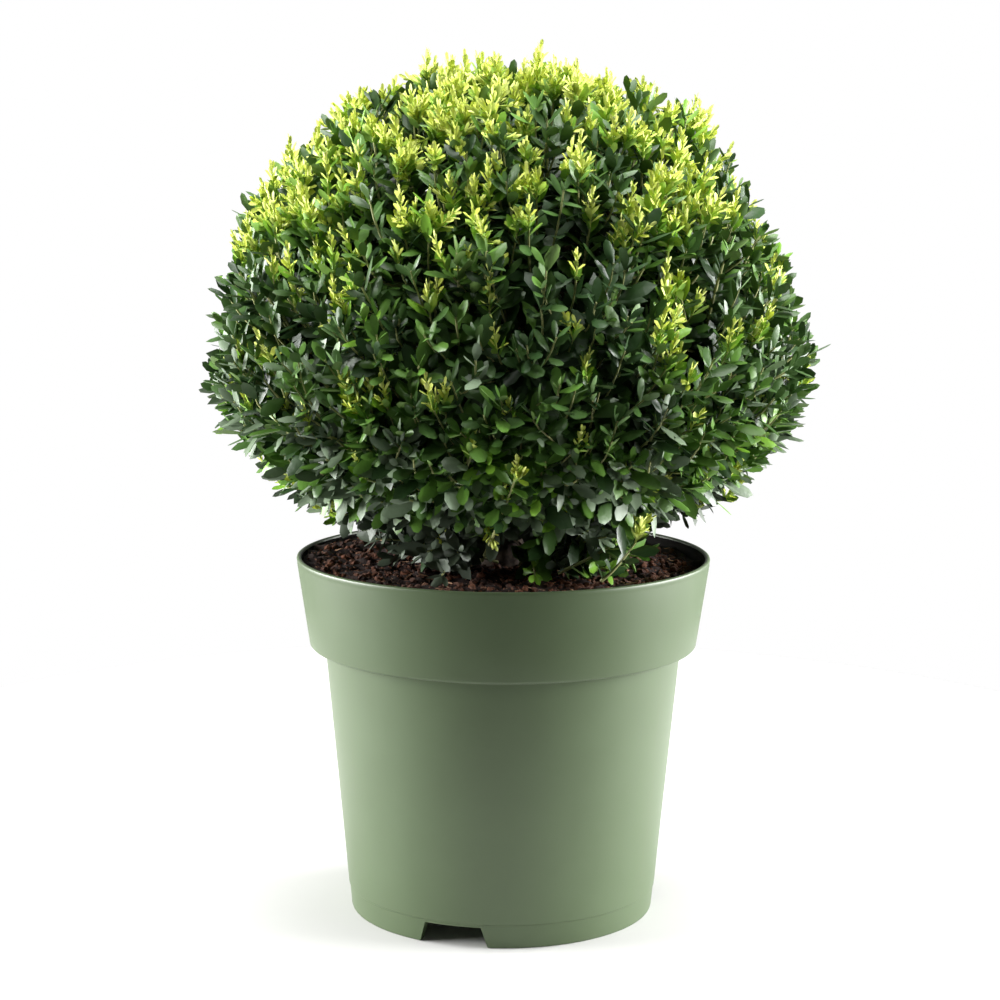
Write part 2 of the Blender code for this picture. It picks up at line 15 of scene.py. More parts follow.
import bmesh
import bpy
from mathutils import Matrix, Quaternion, Vector, noise

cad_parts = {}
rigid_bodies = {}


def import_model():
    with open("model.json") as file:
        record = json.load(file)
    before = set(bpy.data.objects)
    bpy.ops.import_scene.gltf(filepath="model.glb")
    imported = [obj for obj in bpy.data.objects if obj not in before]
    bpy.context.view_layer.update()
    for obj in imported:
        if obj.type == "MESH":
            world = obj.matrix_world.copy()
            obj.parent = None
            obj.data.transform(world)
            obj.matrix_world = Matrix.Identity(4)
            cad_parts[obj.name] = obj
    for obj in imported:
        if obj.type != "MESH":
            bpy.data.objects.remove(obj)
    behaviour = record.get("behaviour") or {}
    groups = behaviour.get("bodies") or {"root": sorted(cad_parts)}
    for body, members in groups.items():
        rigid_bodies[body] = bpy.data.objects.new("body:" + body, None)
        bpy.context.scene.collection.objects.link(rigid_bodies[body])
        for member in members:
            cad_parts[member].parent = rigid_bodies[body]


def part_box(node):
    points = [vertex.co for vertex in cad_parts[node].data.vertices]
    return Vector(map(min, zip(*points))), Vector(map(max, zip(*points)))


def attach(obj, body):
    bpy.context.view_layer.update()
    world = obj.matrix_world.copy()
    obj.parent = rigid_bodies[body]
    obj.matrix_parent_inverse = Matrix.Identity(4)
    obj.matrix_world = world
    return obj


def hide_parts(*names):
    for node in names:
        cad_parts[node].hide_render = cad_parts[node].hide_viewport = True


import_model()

Settings = dict[str | int, Any] | None
Links = dict[str | int, bpy.types.NodeSocket] | None

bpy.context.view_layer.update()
LOG = logging.getLogger("holly_ball")
UP = Vector((0.0, 0.0, 1.0))
GOLDEN_ANGLE = math.pi * (3 - math.sqrt(5))
SEED = 41
MM = 0.001
MERGE_GAP = 0.00005

# What the points of a carrier mesh, or the faces of a form, can say of themselves.
FACTS = {"turn": "QUATERNION", "size": "FLOAT", "form": "INT", "tint": "INT", "under": "BOOLEAN"}


class Slot(Enum):
    """The record's material slots."""

    POT = "pot"
    MIX = "potting_mix"
    BARK = "bark"
    FOLIAGE = "foliage"


class Zone(Enum):
    """The parts of the plant that its foliage is joined by."""

    TOP = "top"
    UPPER_FRONT = "upper_front"
    UPPER_BACK = "upper_back"
    LOWER_FRONT = "lower_front"
    LOWER_BACK = "lower_back"
    FOOT = "foot"


class Form(IntEnum):
    """The shapes of blade that the leaves are picked from."""

    FLAT = 0
    ARCHED = 1
    CUPPED = 2
    TWISTED = 3
    YOUNG = 4
    BUD = 5
    INNER = 6


class Tint(IntEnum):
    """The colours of leaf, dealt out by spray."""

    DEEP = 0
    DARK = 1
    GREEN = 2
    FRESH = 3
    DULL = 4
    SPRING = 5
    LIME = 6
    YELLOW = 7
    DUSTY = 8


class Wood(IntEnum):
    """The ages of twig."""

    OLD = 0
    GREEN = 1
    TIP = 2


class Crumb(Enum):
    """What the potting mix is made of."""

    PEAT = "peat"
    BARK = "bark"
    FIBRE = "fibre"


# Tools for meshes and nodes


def linear(code: str) -> tuple[float, float, float, float]:
    """Turns an sRGB colour to the linear one that shaders take.

    Args:
        code: Six hex digits, red first.

    Returns:
        Red, green, blue and an alpha of 1.
    """
    parts = [int(code[at : at + 2], 16) / 255 for at in (0, 2, 4)]
    red, green, blue = (x / 12.92 if x <= 0.04045 else ((x + 0.055) / 1.055) ** 2.4 for x in parts)
    return red, green, blue, 1.0


def add_node(
    tree: bpy.types.NodeTree, kind: str, settings: Settings = None, links: Links = None
) -> bpy.types.Node:
    """Adds one node with its settings and links.

    Args:
        tree: The shader or geometry tree.
        kind: The node's type.
        settings: Its own settings first, then the values of its inputs, by name or number.
        links: The output that feeds each input, by the input's name or number.

    Returns:
        The new node.
    """
    node = tree.nodes.new(kind)
    for key, value in (settings or {}).items():
        if isinstance(key, int) or key in node.inputs:
            node.inputs[key].default_value = value
        else:
            setattr(node, key, value)
    for key, source in (links or {}).items():
        tree.links.new(source, node.inputs[key])
    return node


def waves_in(size_mm: float) -> float:
    """The scale of a pattern whose marks are this many millimetres wide."""
    return 1000.0 / size_mm


def new_object(name: str, mesh: bpy.types.Mesh) -> bpy.types.Object:
    """Shows a mesh as an object of the scene.

    Args:
        name: The object's name.
        mesh: Its mesh.

    Returns:
        The new object.
    """
    made = bpy.data.objects.new(name, mesh)
    bpy.context.scene.collection.objects.link(made)
    return made


def mesh_of(name: str, shape: bmesh.types.BMesh) -> bpy.types.Mesh:
    """Makes a mesh of a bmesh.

    Args:
        name: The mesh's name.
        shape: The bmesh, which is freed.

    Returns:
        The new mesh.
    """
    mesh = bpy.data.meshes.new(name)
    shape.to_mesh(mesh)
    shape.free()
    return mesh


def frozen(thing: bpy.types.Object) -> bpy.types.Object:
    """Replaces an object by a new one that holds its evaluated mesh and no modifiers.

    Args:
        thing: The object, which is removed.

    Returns:
        The new object, under the same name.
    """
    name = thing.name
    graph = bpy.context.evaluated_depsgraph_get()
    graph.update()
    mesh = bpy.data.meshes.new_from_object(thing.evaluated_get(graph), depsgraph=graph)
    bpy.data.objects.remove(thing, do_unlink=True)
    mesh.name = name
    return new_object(name, mesh)


def turned(name: str, section: Sequence[tuple], steps: int) -> bpy.types.Object:
    """Turns a section about +Z.

    Args:
        name: The object's name.
        section: Points as (radius, height), from the axis back to the axis.
        steps: How many steps the turn has.

    Returns:
        An object with the closed mesh, its faces outward.
    """
    shape = bmesh.new()
    ring = [shape.verts.new((radius, 0.0, height)) for radius, height in section]
    for first, second in zip(ring, ring[1:]):
        shape.edges.new((first, second))
    made = new_object(name, mesh_of(name, shape))
    screw = made.modifiers.new("turn", "SCREW")
    screw.axis = "Z"
    screw.angle = math.tau
    screw.steps = screw.render_steps = steps
    screw.use_merge_vertices = True
    screw.merge_threshold = MERGE_GAP
    made = frozen(made)
    shape = bmesh.new()
    shape.from_mesh(made.data)
    bmesh.ops.recalc_face_normals(shape, faces=shape.faces)
    if shape.calc_volume(signed=True) < 0:
        bmesh.ops.reverse_faces(shape, faces=shape.faces)
    shape.to_mesh(made.data)
    shape.free()
    return made


def shelf(name: str, meshes: Iterable[bpy.types.Mesh]) -> bpy.types.Collection:
    """Keeps meshes as objects in a collection outside the scene.

    Args:
        name: The collection's name, by which its objects are numbered too.
        meshes: The meshes, in order.

    Returns:
        The collection.
    """
    made = bpy.data.collections.new(name)
    for index, mesh in enumerate(meshes):
        made.objects.link(bpy.data.objects.new(f"{name}_{index:02d}", mesh))
    return made


def clear_shelf(kept: bpy.types.Collection) -> None:
    """Removes a collection with its objects.

    Args:
        kept: The collection.
    """
    for thing in list(kept.objects):
        bpy.data.objects.remove(thing, do_unlink=True)
    bpy.data.collections.remove(kept)


def carrier(
    points: Sequence[Vector], lines: Sequence[tuple[int, int]], facts: dict[str, Sequence[float]]
) -> bpy.types.Mesh:
    """Makes a mesh of loose points or lines for a recipe to grow on.

    Args:
        points: Its points.
        lines: The pairs of points that are joined.
        facts: What each point says of itself, in the order of the points.

    Returns:
        The mesh, with the facts as attributes.
    """
    mesh = bpy.data.meshes.new("carrier")
    mesh.from_pydata([tuple(place) for place in points], lines, [])
    for fact, values in facts.items():
        mesh.attributes.new(fact, FACTS[fact], "POINT").data.foreach_set("value", values)
    return mesh


def finished(thing: bpy.types.Object, slot: Slot, stands_for: Sequence[str] = ()) -> None:
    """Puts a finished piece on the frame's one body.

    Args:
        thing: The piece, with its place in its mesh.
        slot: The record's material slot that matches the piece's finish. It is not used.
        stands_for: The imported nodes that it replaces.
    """
    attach(thing, "root")
    if stands_for:
        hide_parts(*stands_for)
    thing.data.calc_loop_triangles()
    LOG.info("%s: %d triangles", thing.name, len(thing.data.loop_triangles))


def golden_way(index: int, count: int, top: float, bottom: float) -> Vector:
    """One of a number of directions spread evenly over a band of a sphere.

    Args:
        index: Which one, from the top down.
        count: How many there are.
        top: The height of the band's upper edge on a sphere of radius 1.
        bottom: The height of its lower edge.

    Returns:
        A direction of length 1.
    """
    height = top + (bottom - top) * (index + 0.5) / count
    level = math.sqrt(1 - height * height)
    turn = index * GOLDEN_ANGLE
    return Vector((level * math.cos(turn), level * math.sin(turn), height))


def bent_line(start: Vector, pull: Vector, end: Vector, steps: int) -> list[Vector]:
    """Points along a line that leaves its start towards a pull, then bends to its end.

    Args:
        start: The first point.
        pull: The point that bends the line.
        end: The last point.
        steps: How many stretches the line has.

    Returns:
        The points, ends included.
    """
    shares = [step / steps for step in range(steps + 1)]
    return [start * (1 - t) ** 2 + pull * 2 * t * (1 - t) + end * t**2 for t in shares]


def bowed_line(start: Vector, end: Vector, rise: float, steps: int) -> list[Vector]:
    """Points along a line whose middle is pulled up by a rise."""
    return bent_line(start, start.lerp(end, 0.5) + UP * rise, end, steps)


# Finishes


@dataclass(frozen=True)
class Finish:
    """A finish: marks in two close colours, a gloss that follows them, and a relief. Sizes are real ones."""

    name: str
    colour: str
    second_colour: str = ""
    roughness: float = 0.9
    roughness_spread: float = 0.0
    sheen: float = 0.5
    ior: float = 1.5
    mark_mm: float = 4.0
    mark_detail: float = 4.0
    mark_distortion: float = 0.0
    mark_edges: tuple[float, float] | None = None
    relief_mm: float = 6.0
    relief_depth_mm: float = 0.05
    relief_strength: float = 0.3
    relief_detail: float = 2.0
    relief_roughness: float = 0.5

    def material(self) -> bpy.types.Material:
        """Gives the finish as a material, which is made once.

        Returns:
            The material.
        """
        made = bpy.data.materials.get(self.name)
        if made is None:
            made = bpy.data.materials.new(self.name)
            made.use_nodes = True
            made.node_tree.nodes.clear()
            shader = self.dress(made.node_tree)
            add_node(made.node_tree, "ShaderNodeOutputMaterial", links={"Surface": shader.outputs[0]})
        return made

    def dress(self, tree: bpy.types.NodeTree) -> bpy.types.Node:
        """Adds the finish's nodes.

        Args:
            tree: The material's tree.

        Returns:
            The shader.
        """
        place = {"Vector": add_node(tree, "ShaderNodeTexCoord").outputs["Object"]}
        settings: Settings = {"Scale": waves_in(self.relief_mm), "Detail": self.relief_detail}
        settings["Roughness"] = self.relief_roughness
        pattern = add_node(tree, "ShaderNodeTexNoise", settings, place).outputs["Fac"]
        settings = {"Strength": self.relief_strength, "Distance": self.relief_depth_mm * MM}
        links = {"Normal": add_node(tree, "ShaderNodeBump", settings, {"Height": pattern}).outputs["Normal"]}
        if self.second_colour:
            settings = {"Scale": waves_in(self.mark_mm), "Detail": self.mark_detail}
            settings["Distortion"] = self.mark_distortion
            pattern = add_node(tree, "ShaderNodeTexNoise", settings, place).outputs["Fac"]
            share = pattern
            if self.mark_edges:
                settings = dict(zip(("From Min", "From Max"), self.mark_edges))
                share = add_node(tree, "ShaderNodeMapRange", settings, {"Value": pattern}).outputs["Result"]
            settings = {"data_type": "RGBA", 6: linear(self.colour), 7: linear(self.second_colour)}
            links["Base Color"] = add_node(tree, "ShaderNodeMix", settings, {0: share}).outputs[2]
        if self.roughness_spread:
            settings = {"To Min": self.roughness - self.roughness_spread}
            settings["To Max"] = self.roughness + self.roughness_spread
            gloss = add_node(tree, "ShaderNodeMapRange", settings, {"Value": pattern})
            links["Roughness"] = gloss.outputs["Result"]
        settings = {"Base Color": linear(self.colour), "Roughness": self.roughness}
        settings.update({"Specular IOR Level": self.sheen, "IOR": self.ior})
        return add_node(tree, "ShaderNodeBsdfPrincipled", settings, links)


@dataclass(frozen=True)
class MouldedPlastic(Finish):
    """Injection-moulded polypropylene: satin, so its sides take a broad pale sheen.

    A real mould grain is too fine to show in the render, so it is drawn 1.1 mm wide.
    """

    roughness: float = 0.43
    roughness_spread: float = 0.05
    ior: float = 1.49
    mark_mm: float = 55.0
    mark_detail: float = 3.0
    mark_distortion: float = 0.4
    relief_mm: float = 1.1
    relief_depth_mm: float = 0.035
    relief_strength: float = 0.5


@dataclass(frozen=True)
class RoughSolid(Finish):
    """Peat, bark and fibre: matt and broken, in two close colours, with a coarse surface."""

    roughness: float = 0.92
    sheen: float = 0.30
    mark_edges: tuple[float, float] = (0.36, 0.64)
    relief_mm: float = 1.2
    relief_depth_mm: float = 0.5
    relief_strength: float = 0.8
    relief_detail: float = 3.0
    relief_roughness: float = 0.65


@dataclass(frozen=True)
class LeafSide(Finish):
    """One side of a leaf: a waxy cuticle above, a paler matt skin below. The blade puckers a little."""

    roughness: float = 0.40
    roughness_spread: float = 0.10
    sheen: float = 0.34
    relief_mm: float = 3.5
    relief_depth_mm: float = 0.40
    relief_strength: float = 0.6


# Dull green, a little uneven where the plastic flowed into its mould.
POT_PLASTIC = MouldedPlastic("polypropylene_moulded_green", "465538", "4E5E41")
# The pot's inner skin is painted near black: painted shade inside the collar and over its floor, under the
# plant. It is matt.
POT_INSIDE = RoughSolid(
    "polypropylene_black_dusty", "0E0D0B", "191512", 0.95, mark_mm=12.0, relief_depth_mm=0.2
)
# The bed is nearly black: damp peat's own dark brown, deepened as painted shade for the gaps between the
# crumbs.
# The crumbs on it are drier: red-brown peat, tan bark and pale coir.
PEAT_BED = RoughSolid("peat_bed", "1B100C", "2C1A14")
MIX_FINISHES = {
    Crumb.PEAT: RoughSolid("peat_crumb", "1F110B", "603A26", mark_mm=16.0),
    Crumb.BARK: RoughSolid("bark_chip", "382118", "7C5846", mark_mm=12.0),
    Crumb.FIBRE: RoughSolid("coir_fibre", "8C6A52", "A88468", mark_mm=2.0, relief_depth_mm=0.2),
}
# The trunk's thin bark is dark brown, with paler ridges between its furrows. Its brown is darkened
# as painted shade, for the hollow under the ball.
HOLLY_BARK = RoughSolid("holly_bark", "2B231C", "4A3E33", 0.85, mark_mm=5.0, relief_mm=1.6)
# Old twigs are dry and grey-brown. Young ones have the smooth skin of a leaf.
TWIG_BARK = RoughSolid(
    "twig_bark", "564838", "7A6A50", 0.75, mark_mm=5.0, relief_mm=1.0, relief_depth_mm=0.15
)
WOOD_FINISHES = {
    Wood.OLD: [TWIG_BARK],
    Wood.GREEN: [LeafSide("twig_green", "979A66", roughness=0.5)],
    Wood.TIP: [LeafSide("twig_tip", "B4C262", roughness=0.5)],
}
# The colour and the roughness of each tint's upper side, then of its underside. Deep leaves are partly
# painted shade inside the ball. The pale grey-green is old leaves' dull tone, and under the middle it is
# painted bounce light and sheen. The darkest grey, at the foot, is painted shade. Young tips are lime, yellow
# at the end.
LEAF_TONES = {
    # Deep green: painted shade for leaves inside the ball, and a random dark tone for some sprays.
    Tint.DEEP: ("253F1B", 0.40, "445E37", 0.55),
    Tint.DARK: ("3C5A28", 0.40, "567240", 0.55),
    Tint.GREEN: ("51762D", 0.40, "678444", 0.55),
    Tint.FRESH: ("6F9B30", 0.36, "80A44C", 0.55),
    # Pale grey-green: the dull tone of old leaves, and painted bounce light and sheen under the ball.
    Tint.DULL: ("6A7B62", 0.46, "768472", 0.65),
    Tint.SPRING: ("95B23E", 0.42, "9EBE56", 0.55),
    Tint.LIME: ("C3CD58", 0.45, "C2D068", 0.55),
    # Dark grey: painted shade for the leaves under the ball.
    Tint.DUSTY: ("3F4A3A", 0.55, "4A5345", 0.70),
    Tint.YELLOW: ("D0DA70", 0.48, "D6DE7C", 0.55),
}
LEAF_FINISHES = {
    tint: [
        LeafSide(f"leaf_{tint.name.lower()}", upper, roughness=glossy),
        LeafSide(f"leaf_{tint.name.lower()}_under", lower, roughness=matt),
    ]
    for tint, (upper, glossy, lower, matt) in LEAF_TONES.items()
}
# Matt paper with a faint tooth: it is pale grey, and looks white because it stands in full light.
FLOOR_PAPER = Finish("studio_paper_pale_grey", "CACAC8")


# Geometry node recipes


class Recipe:
    """A tree of geometry nodes with named inputs, run on a carrier mesh and turned to a plain mesh."""

    def __init__(self, name: str, inputs: dict[str, float | int], facts: Sequence[str]) -> None:
        """Starts the tree.

        Args:
            name: The tree's name.
            inputs: The named inputs and their values.
            facts: The attributes that the tree reads.
        """
        self.tree = bpy.data.node_groups.new(name, "GeometryNodeTree")
        self.tree.is_modifier = True
        for side in ("OUTPUT", "INPUT"):
            self.tree.interface.new_socket("Geometry", in_out=side, socket_type="NodeSocketGeometry")
        self.values: dict[str, float | int] = {}
        for label, value in inputs.items():
            kind = "NodeSocketInt" if isinstance(value, int) else "NodeSocketFloat"
            socket = self.tree.interface.new_socket(label, in_out="INPUT", socket_type=kind)
            self.values[socket.identifier] = value
        self.given = self.add("NodeGroupInput").outputs
        self.facts: dict[str, bpy.types.NodeSocket] = {}
        for fact in facts:
            settings = {"data_type": FACTS[fact], "Name": fact}
            self.facts[fact] = self.add("GeometryNodeInputNamedAttribute", settings).outputs[0]

    def add(self, kind: str, settings: Settings = None, links: Links = None) -> bpy.types.Node:
        """Adds one node to the tree."""
        return add_node(self.tree, kind, settings, links)

    def deal(
        self,
        points: bpy.types.NodeSocket,
        forms: bpy.types.Collection,
        turn: bpy.types.NodeSocket,
        size: bpy.types.NodeSocket,
    ) -> bpy.types.NodeSocket:
        """Sets on each point the form that its attribute names.

        Args:
            points: The points.
            forms: The forms to pick from, in the order of their names.
            turn: How each form is turned.
            size: How much it is scaled.

        Returns:
            The instances.
        """
        settings = {"Collection": forms, "Separate Children": True, "Reset Children": True}
        shapes = self.add("GeometryNodeCollectionInfo", settings)
        links = {"Points": points, "Instance": shapes.outputs[0], "Instance Index": self.facts["form"]}
        links.update({"Rotation": turn, "Scale": size})
        return self.add("GeometryNodeInstanceOnPoints", {"Pick Instance": True}, links).outputs[0]

    def end(self, shape: bpy.types.NodeSocket, fact: str, finishes: dict[int, Sequence[Finish]]) -> None:
        """Closes the tree with Realize Instances and Set Material.

        Args:
            shape: The geometry so far.
            fact: The attribute by which a face takes its finish.
            finishes: The finish for each of its values, and where there are two, the underside's second.
        """
        last = self.add("GeometryNodeRealizeInstances", links={"Geometry": shape}).outputs[0]
        for number, sides in finishes.items():
            settings = {"data_type": "INT", "operation": "EQUAL", 3: int(number)}
            chosen = self.add("FunctionNodeCompare", settings, {2: self.facts[fact]}).outputs[0]
            for side, finish in enumerate(sides):
                if side:
                    links = {0: chosen, 1: self.facts["under"]}
                    chosen = self.add("FunctionNodeBooleanMath", {"operation": "AND"}, links).outputs[0]
                links = {"Geometry": last, "Selection": chosen}
                last = self.add("GeometryNodeSetMaterial", {"Material": finish.material()}, links).outputs[0]
        self.add("NodeGroupOutput", links={"Geometry": last})

    def run(self, name: str, grown_on: bpy.types.Mesh) -> bpy.types.Object:
        """Runs the tree on a carrier mesh.

        Args:
            name: The piece's name.
            grown_on: The mesh that holds the points, lines or faces to grow on.

        Returns:
            An object with the plain mesh and no modifier.
        """
        thing = new_object(name, grown_on)
        modifier = thing.modifiers.new("recipe", "NODES")
        modifier.node_group = self.tree
        for identifier, value in self.values.items():
            modifier[identifier] = value
        made = frozen(thing)
        attributes = made.data.attributes
        for spare in [attribute.name for attribute in attributes if attribute.name in FACTS]:
            attributes.remove(attributes[spare])
        return made


# Pot


@dataclass
class Pot:
    """The nursery pot: one moulded wall with a deep collar, a raised floor and a notched foot."""

    height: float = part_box("pot")[1].z
    rim_radius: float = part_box("pot")[1].x
    collar_height: float = 0.0585
    collar_foot_radius: float = 0.1268
    collar_corner: float = 0.0018
    body_top_radius: float = 0.1164
    ledge_corner: float = 0.0030
    ledge_step: float = 0.0005
    wall: float = 0.0020
    lip_width: float = 0.0032
    lip_height: float = 0.0030
    lip_overhang: float = 0.0004
    lip_root_share: float = 1.6
    lip_blend_share: float = 2.0
    foot_radius: float = 0.1002
    foot_line_height: float = 0.0153
    foot_line_step: float = 0.0005
    foot_ring_width: float = 0.0080
    foot_corner: float = 0.0012
    floor_height: float = 0.0140
    notch_count: int = 3
    notch_turn: float = math.radians(-18.1)
    notch_foot_width: float = 0.0467
    notch_top_width: float = 0.0371
    notch_roof: float = 0.3 * MM
    notch_depth_share: float = 3.0
    drain_count: int = 6
    drain_radius: float = 0.0055
    drain_circle: float = 0.062
    drain_sides: int = 24
    drain_depth_share: float = 6.0
    gate_radius: float = 0.0060
    gate_height: float = 0.0012
    turn_steps: int = 144
    arc_steps: int = 5
    inward_slope: float = -0.3
    level_slope: float = 0.7
    sharp_angle: float = math.radians(35)

    @property
    def ledge(self) -> float:
        """The height of the ledge where the collar starts."""
        return self.height - self.collar_height

    def wall_radius(self, height: float) -> float:
        """The outer radius of the tapered body at a height."""
        return self.foot_radius + (self.body_top_radius - self.foot_radius) * (height / self.ledge)

    def inner_radius(self, height: float) -> float:
        """The radius inside the collar at a height."""
        share = max(0.0, height - self.ledge) / self.collar_height
        return self.collar_foot_radius + (self.rim_radius - self.collar_foot_radius) * share - self.wall

    def arc(self, middle: tuple[float, float], radius: float, first: float, last: float) -> list[tuple]:
        """Points of an arc in the section.

        Args:
            middle: The arc's centre as (radius, height).
            radius: How round it is.
            first: The angle where it starts, in degrees from +X.
            last: The angle where it ends.

        Returns:
            The points, ends included.
        """
        made = []
        for step in range(self.arc_steps + 1):
            angle = math.radians(first + (last - first) * step / self.arc_steps)
            made.append((middle[0] + radius * math.cos(angle), middle[1] + radius * math.sin(angle)))
        return made

    def section(self) -> list[tuple]:
        """Draws the section: out under the floor, up outside, over the lip and down inside.

        Returns:
            Its points as (radius, height).
        """
        ledge, wall, floor = self.ledge, self.wall, self.floor_height
        gate, ring = floor - self.gate_height, self.foot_radius - self.foot_ring_width
        under = [(0.0, gate), (self.gate_radius, gate), (self.gate_radius, floor), (ring, floor), (ring, 0.0)]
        line, step = self.wall_radius(self.foot_line_height), self.foot_line_step
        foot, turn = self.foot_radius - step, self.foot_corner
        outside = self.arc((foot - turn, turn), turn, -90, 0)
        outside += [(line - step, self.foot_line_height), (line, self.foot_line_height + step)]
        turn = self.ledge_corner
        outside += self.arc((self.body_top_radius + turn, ledge - turn), turn, 180, 90)
        collar, corner = self.collar_foot_radius, self.collar_corner
        outside += self.arc((collar - corner, ledge + corner), corner, -90, 0)
        neck, lip, top = self.rim_radius - self.lip_overhang, self.lip_width / 2, self.height
        rim = [(neck, top - self.lip_height * self.lip_root_share), (neck, top - self.lip_height)]
        rim += self.arc((self.rim_radius - lip, top - lip), lip, 0, 180)
        inside = [
            (self.rim_radius - self.lip_width, top - self.lip_height),
            (self.rim_radius - lip - wall, top - self.lip_height * self.lip_blend_share),
            (collar - wall, ledge + corner + wall),
            (collar - wall - corner, ledge + wall),
            (self.body_top_radius - wall, ledge + wall),
            (self.body_top_radius - wall - self.ledge_step, ledge - wall),
            (self.wall_radius(floor + wall) - wall, floor + wall),
            (0.0, floor + wall),
        ]
        return under + outside + rim + inside

    def cutters(self) -> Iterator[bpy.types.Mesh]:
        """Makes the blocks that cut the notches, then the drills for the drain holes.

        Returns:
            One mesh after another, in its place.
        """
        depth = self.foot_ring_width * self.notch_depth_share
        for index in range(self.notch_count):
            shape = bmesh.new()
            bmesh.ops.create_cube(shape, size=1.0)
            for corner in shape.verts:
                below = corner.co.z < 0
                corner.co.x *= self.notch_foot_width if below else self.notch_top_width
                corner.co.y = corner.co.y * depth - self.foot_radius + self.foot_ring_width / 2
                corner.co.z = -self.wall if below else self.floor_height - self.notch_roof
            turn = self.notch_turn + math.tau * index / self.notch_count
            bmesh.ops.rotate(shape, verts=shape.verts, matrix=Matrix.Rotation(turn, 3, "Z"))
            yield mesh_of("notch", shape)
        radii = {"radius1": self.drain_radius, "radius2": self.drain_radius}
        depth = self.wall * self.drain_depth_share
        for index in range(self.drain_count):
            turn = self.notch_turn + math.tau * index / self.drain_count
            middle = Vector((math.cos(turn), math.sin(turn), 0)) * self.drain_circle + UP * self.floor_height
            place = Matrix.Translation(middle)
            shape = bmesh.new()
            bmesh.ops.create_cone(
                shape, cap_ends=True, segments=self.drain_sides, depth=depth, matrix=place, **radii
            )
            yield mesh_of("drain", shape)

    def is_inside(self, face: bpy.types.MeshPolygon) -> bool:
        """Tells whether a face lines the pot: it is above the floor, below the lip, and looks in or up.

        Args:
            face: The face.

        Returns:
            True inside the pot.
        """
        reach = face.center.xy.length
        level = self.floor_height + self.wall / 2 < face.center.z < self.height - self.lip_height / 2
        inward = face.normal.x * face.center.x + face.normal.y * face.center.y < self.inward_slope * reach
        return level and (inward or (face.normal.z > self.level_slope and reach < self.body_top_radius))

    def build(self) -> None:
        """Turns the wall, cuts its notches and holes, and dresses it."""
        pot = turned("pot_wall", self.section(), self.turn_steps)
        bench = shelf("bench", self.cutters())
        cut = pot.modifiers.new("cut", "BOOLEAN")
        cut.operation = "DIFFERENCE"
        cut.operand_type = "COLLECTION"
        cut.collection = bench
        cut.solver = "EXACT"
        pot = frozen(pot)
        clear_shelf(bench)
        pot.data.materials.clear()
        for finish in (POT_PLASTIC, POT_INSIDE):
            pot.data.materials.append(finish.material())
        # Faces inside the pot take the near-black finish: painted shade.
        for face in pot.data.polygons:
            face.material_index = int(self.is_inside(face))
        pot.data.shade_smooth()
        pot.data.set_sharp_from_angle(angle=self.sharp_angle)
        finished(pot, Slot.POT, ["pot"])


# Potting mix


